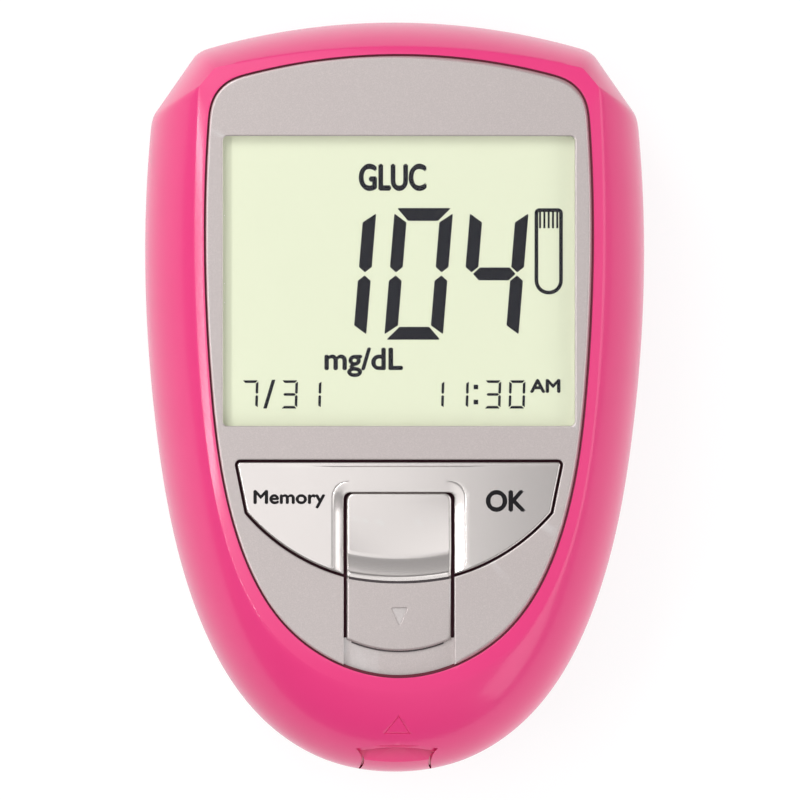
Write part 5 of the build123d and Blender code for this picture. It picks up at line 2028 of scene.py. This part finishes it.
@dataclass
class Studio:
    """Floor, lamps, surroundings and camera."""

    view_width: float = 102.536
    aim: tuple[float, float, float] = (0.68, -0.38, 11.0)
    lean: float = 2.4
    distance: float = 3000.0
    world_level: float = 0.2
    world_slope: float = 0.12
    right_glow: Glow = Glow((math.sin(0.873), 0.0, math.cos(0.873)), 8.0, 0.5)
    nose_glow: Glow = Glow((0.0, -0.6, 0.8), 14.0, 0.2)
    floor_half: float = 900.0
    floor_colour: float = 0.90
    floor_glow: float = 1.06
    floor_whiteness: float = 0.8

    def floor(self) -> None:
        """A pale matt floor; camera, glossy and transmission rays see it mostly white, with the shadow."""
        across = self.floor_half * np.array([(-1.0, -1.0), (1.0, -1.0), (1.0, 1.0), (-1.0, 1.0)])
        points = np.column_stack([across, np.zeros(4)])
        piece = make_object("floor", Surface(points, [np.array([[0, 1, 2, 3]])]))
        material = bpy.data.materials.new("pale_floor")
        material.use_nodes = True
        tree = material.node_tree
        shader = tree.nodes["Principled BSDF"]
        shader.inputs["Roughness"].default_value = 0.9
        white = tree.nodes.new("ShaderNodeEmission")
        white.inputs["Strength"].default_value = self.floor_glow
        shader.inputs["Base Color"].default_value = (*[self.floor_colour] * 3, 1.0)
        path = tree.nodes.new("ShaderNodeLightPath")
        seen = sum_of(tree, "MAXIMUM", path.outputs["Is Camera Ray"], path.outputs["Is Glossy Ray"])
        seen = sum_of(tree, "MAXIMUM", seen, path.outputs["Is Transmission Ray"])
        share = sum_of(tree, "MULTIPLY", seen, self.floor_whiteness)
        blended(tree, share, shader, white.outputs["Emission"])
        piece.data.materials.append(material)

    def lamp(
        self, name: str, spot: tuple[float, float, float], size: tuple[float, float], glow: float,
        target: tuple[float, float, float] = (0.0, 0.0, 20.0),
    ) -> bpy.types.Object:
        """A soft rectangular lamp.

        Args:
            name: name of the lamp.
            spot: where it stands, in millimetres.
            size: its two sides in millimetres.
            glow: its radiance; the power is pi times the area times this.
            target: the place it faces.

        Returns:
            The lamp.
        """
        light = bpy.data.lights.new(name, "AREA")
        light.shape = "RECTANGLE"
        light.size = size[0] * MM
        light.size_y = size[1] * MM
        light.energy = math.pi * size[0] * size[1] * MM * MM * glow
        lamp = bpy.data.objects.new(name, light)
        here = np.array(spot, dtype=float)
        back = here - np.array(target)
        back = back / np.linalg.norm(back)
        side = np.cross([0.0, 1.0, 0.0], back)
        side = side / np.linalg.norm(side)
        up = np.cross(back, side)
        matrix = np.eye(4)
        matrix[:3, 0], matrix[:3, 1], matrix[:3, 2], matrix[:3, 3] = side, up, back, here * MM
        lamp.matrix_world = Matrix(matrix.tolist())
        bpy.context.scene.collection.objects.link(lamp)
        return lamp

    def surroundings(self) -> None:
        """A plain colourless world, brighter behind the meter's top than below its nose.

        Its strength is level + slope * (direction's Y) and two soft glows, one on the right and a faint
        one before the nose: each is its strength times a power of the cosine between the direction and
        the glow's middle.
        """
        world = bpy.data.worlds.new("studio")
        world.use_nodes = True
        tree = world.node_tree
        background = tree.nodes["Background"]
        split = tree.nodes.new("ShaderNodeSeparateXYZ")
        direction = tree.nodes.new("ShaderNodeTexCoord").outputs["Generated"]
        link(tree, direction, split.inputs["Vector"])
        strength = sum_of(tree, "MULTIPLY_ADD", split.outputs["Y"], self.world_slope, self.world_level)
        for glow in (self.right_glow, self.nose_glow):
            near = tree.nodes.new("ShaderNodeVectorMath")
            near.operation = "DOT_PRODUCT"
            near.inputs[1].default_value = glow.middle
            link(tree, direction, near.inputs[0])
            ahead = sum_of(tree, "MAXIMUM", near.outputs["Value"], 0.0)
            lobe = sum_of(tree, "POWER", ahead, glow.power)
            strength = sum_of(tree, "ADD", strength, sum_of(tree, "MULTIPLY", lobe, glow.strength))
        background.inputs["Color"].default_value = (1.0, 1.0, 1.0, 1.0)
        link(tree, strength, background.inputs["Strength"])
        bpy.context.scene.world = world

    def camera(self) -> None:
        """A long lens from almost straight above, leaning a little to the left."""
        data = bpy.data.cameras.new("camera")
        data.sensor_width = 36.0
        data.lens = data.sensor_width * self.distance / self.view_width
        data.clip_end = 20.0
        camera = bpy.data.objects.new("camera", data)
        lean = math.radians(self.lean)
        x, y, z = self.aim
        spot = (x - self.distance * math.sin(lean), y, z + self.distance * math.cos(lean))
        turn = Matrix.Rotation(-lean, 4, "Y")
        camera.matrix_world = Matrix.Translation([value * MM for value in spot]) @ turn
        bpy.context.scene.collection.objects.link(camera)
        bpy.context.scene.camera = camera

    def build(self) -> None:
        """Sets the whole studio up."""
        self.floor()
        self.surroundings()
        self.lamp("overhead_light", (-525.0, 430.0, 700.0), (1200.0, 1560.0), 0.95, (-525.0, 430.0, 0.0))
        self.lamp("key_light", (-330.0, 520.0, 640.0), (300.0, 300.0), 7.0)
        self.lamp("left_strip", (-450.0, -20.0, 500.0), (28.0, 620.0), 24.0)
        self.lamp("right_card", (620.0, -160.0, 290.0), (280.0, 1250.0), 1.75)
        self.lamp("front_fill", (260.0, -600.0, 480.0), (800.0, 500.0), 1.3).visible_glossy = False
        self.camera()
        bpy.context.scene.view_settings.view_transform = "Standard"


def main() -> None:
    """Builds the whole scene."""
    logging.basicConfig(level=logging.INFO, format="%(name)s: %(message)s")
    skins = Wardrobe()
    layout = Layout()
    Housing(layout, skins).build()
    FacePanel(layout, skins).build()
    RockerKey(layout, skins).build()
    EjectorButton(layout, skins).build()
    Display(skins).build()
    BatteryDoor(layout, skins).build()
    Cell(skins, "left", -5.4, -9.25, 1).build()
    Cell(skins, "right", 5.4, 31.25, -1).build()
    dress_carried(skins)
    Studio().build()


if __name__ == "__main__":
    main()
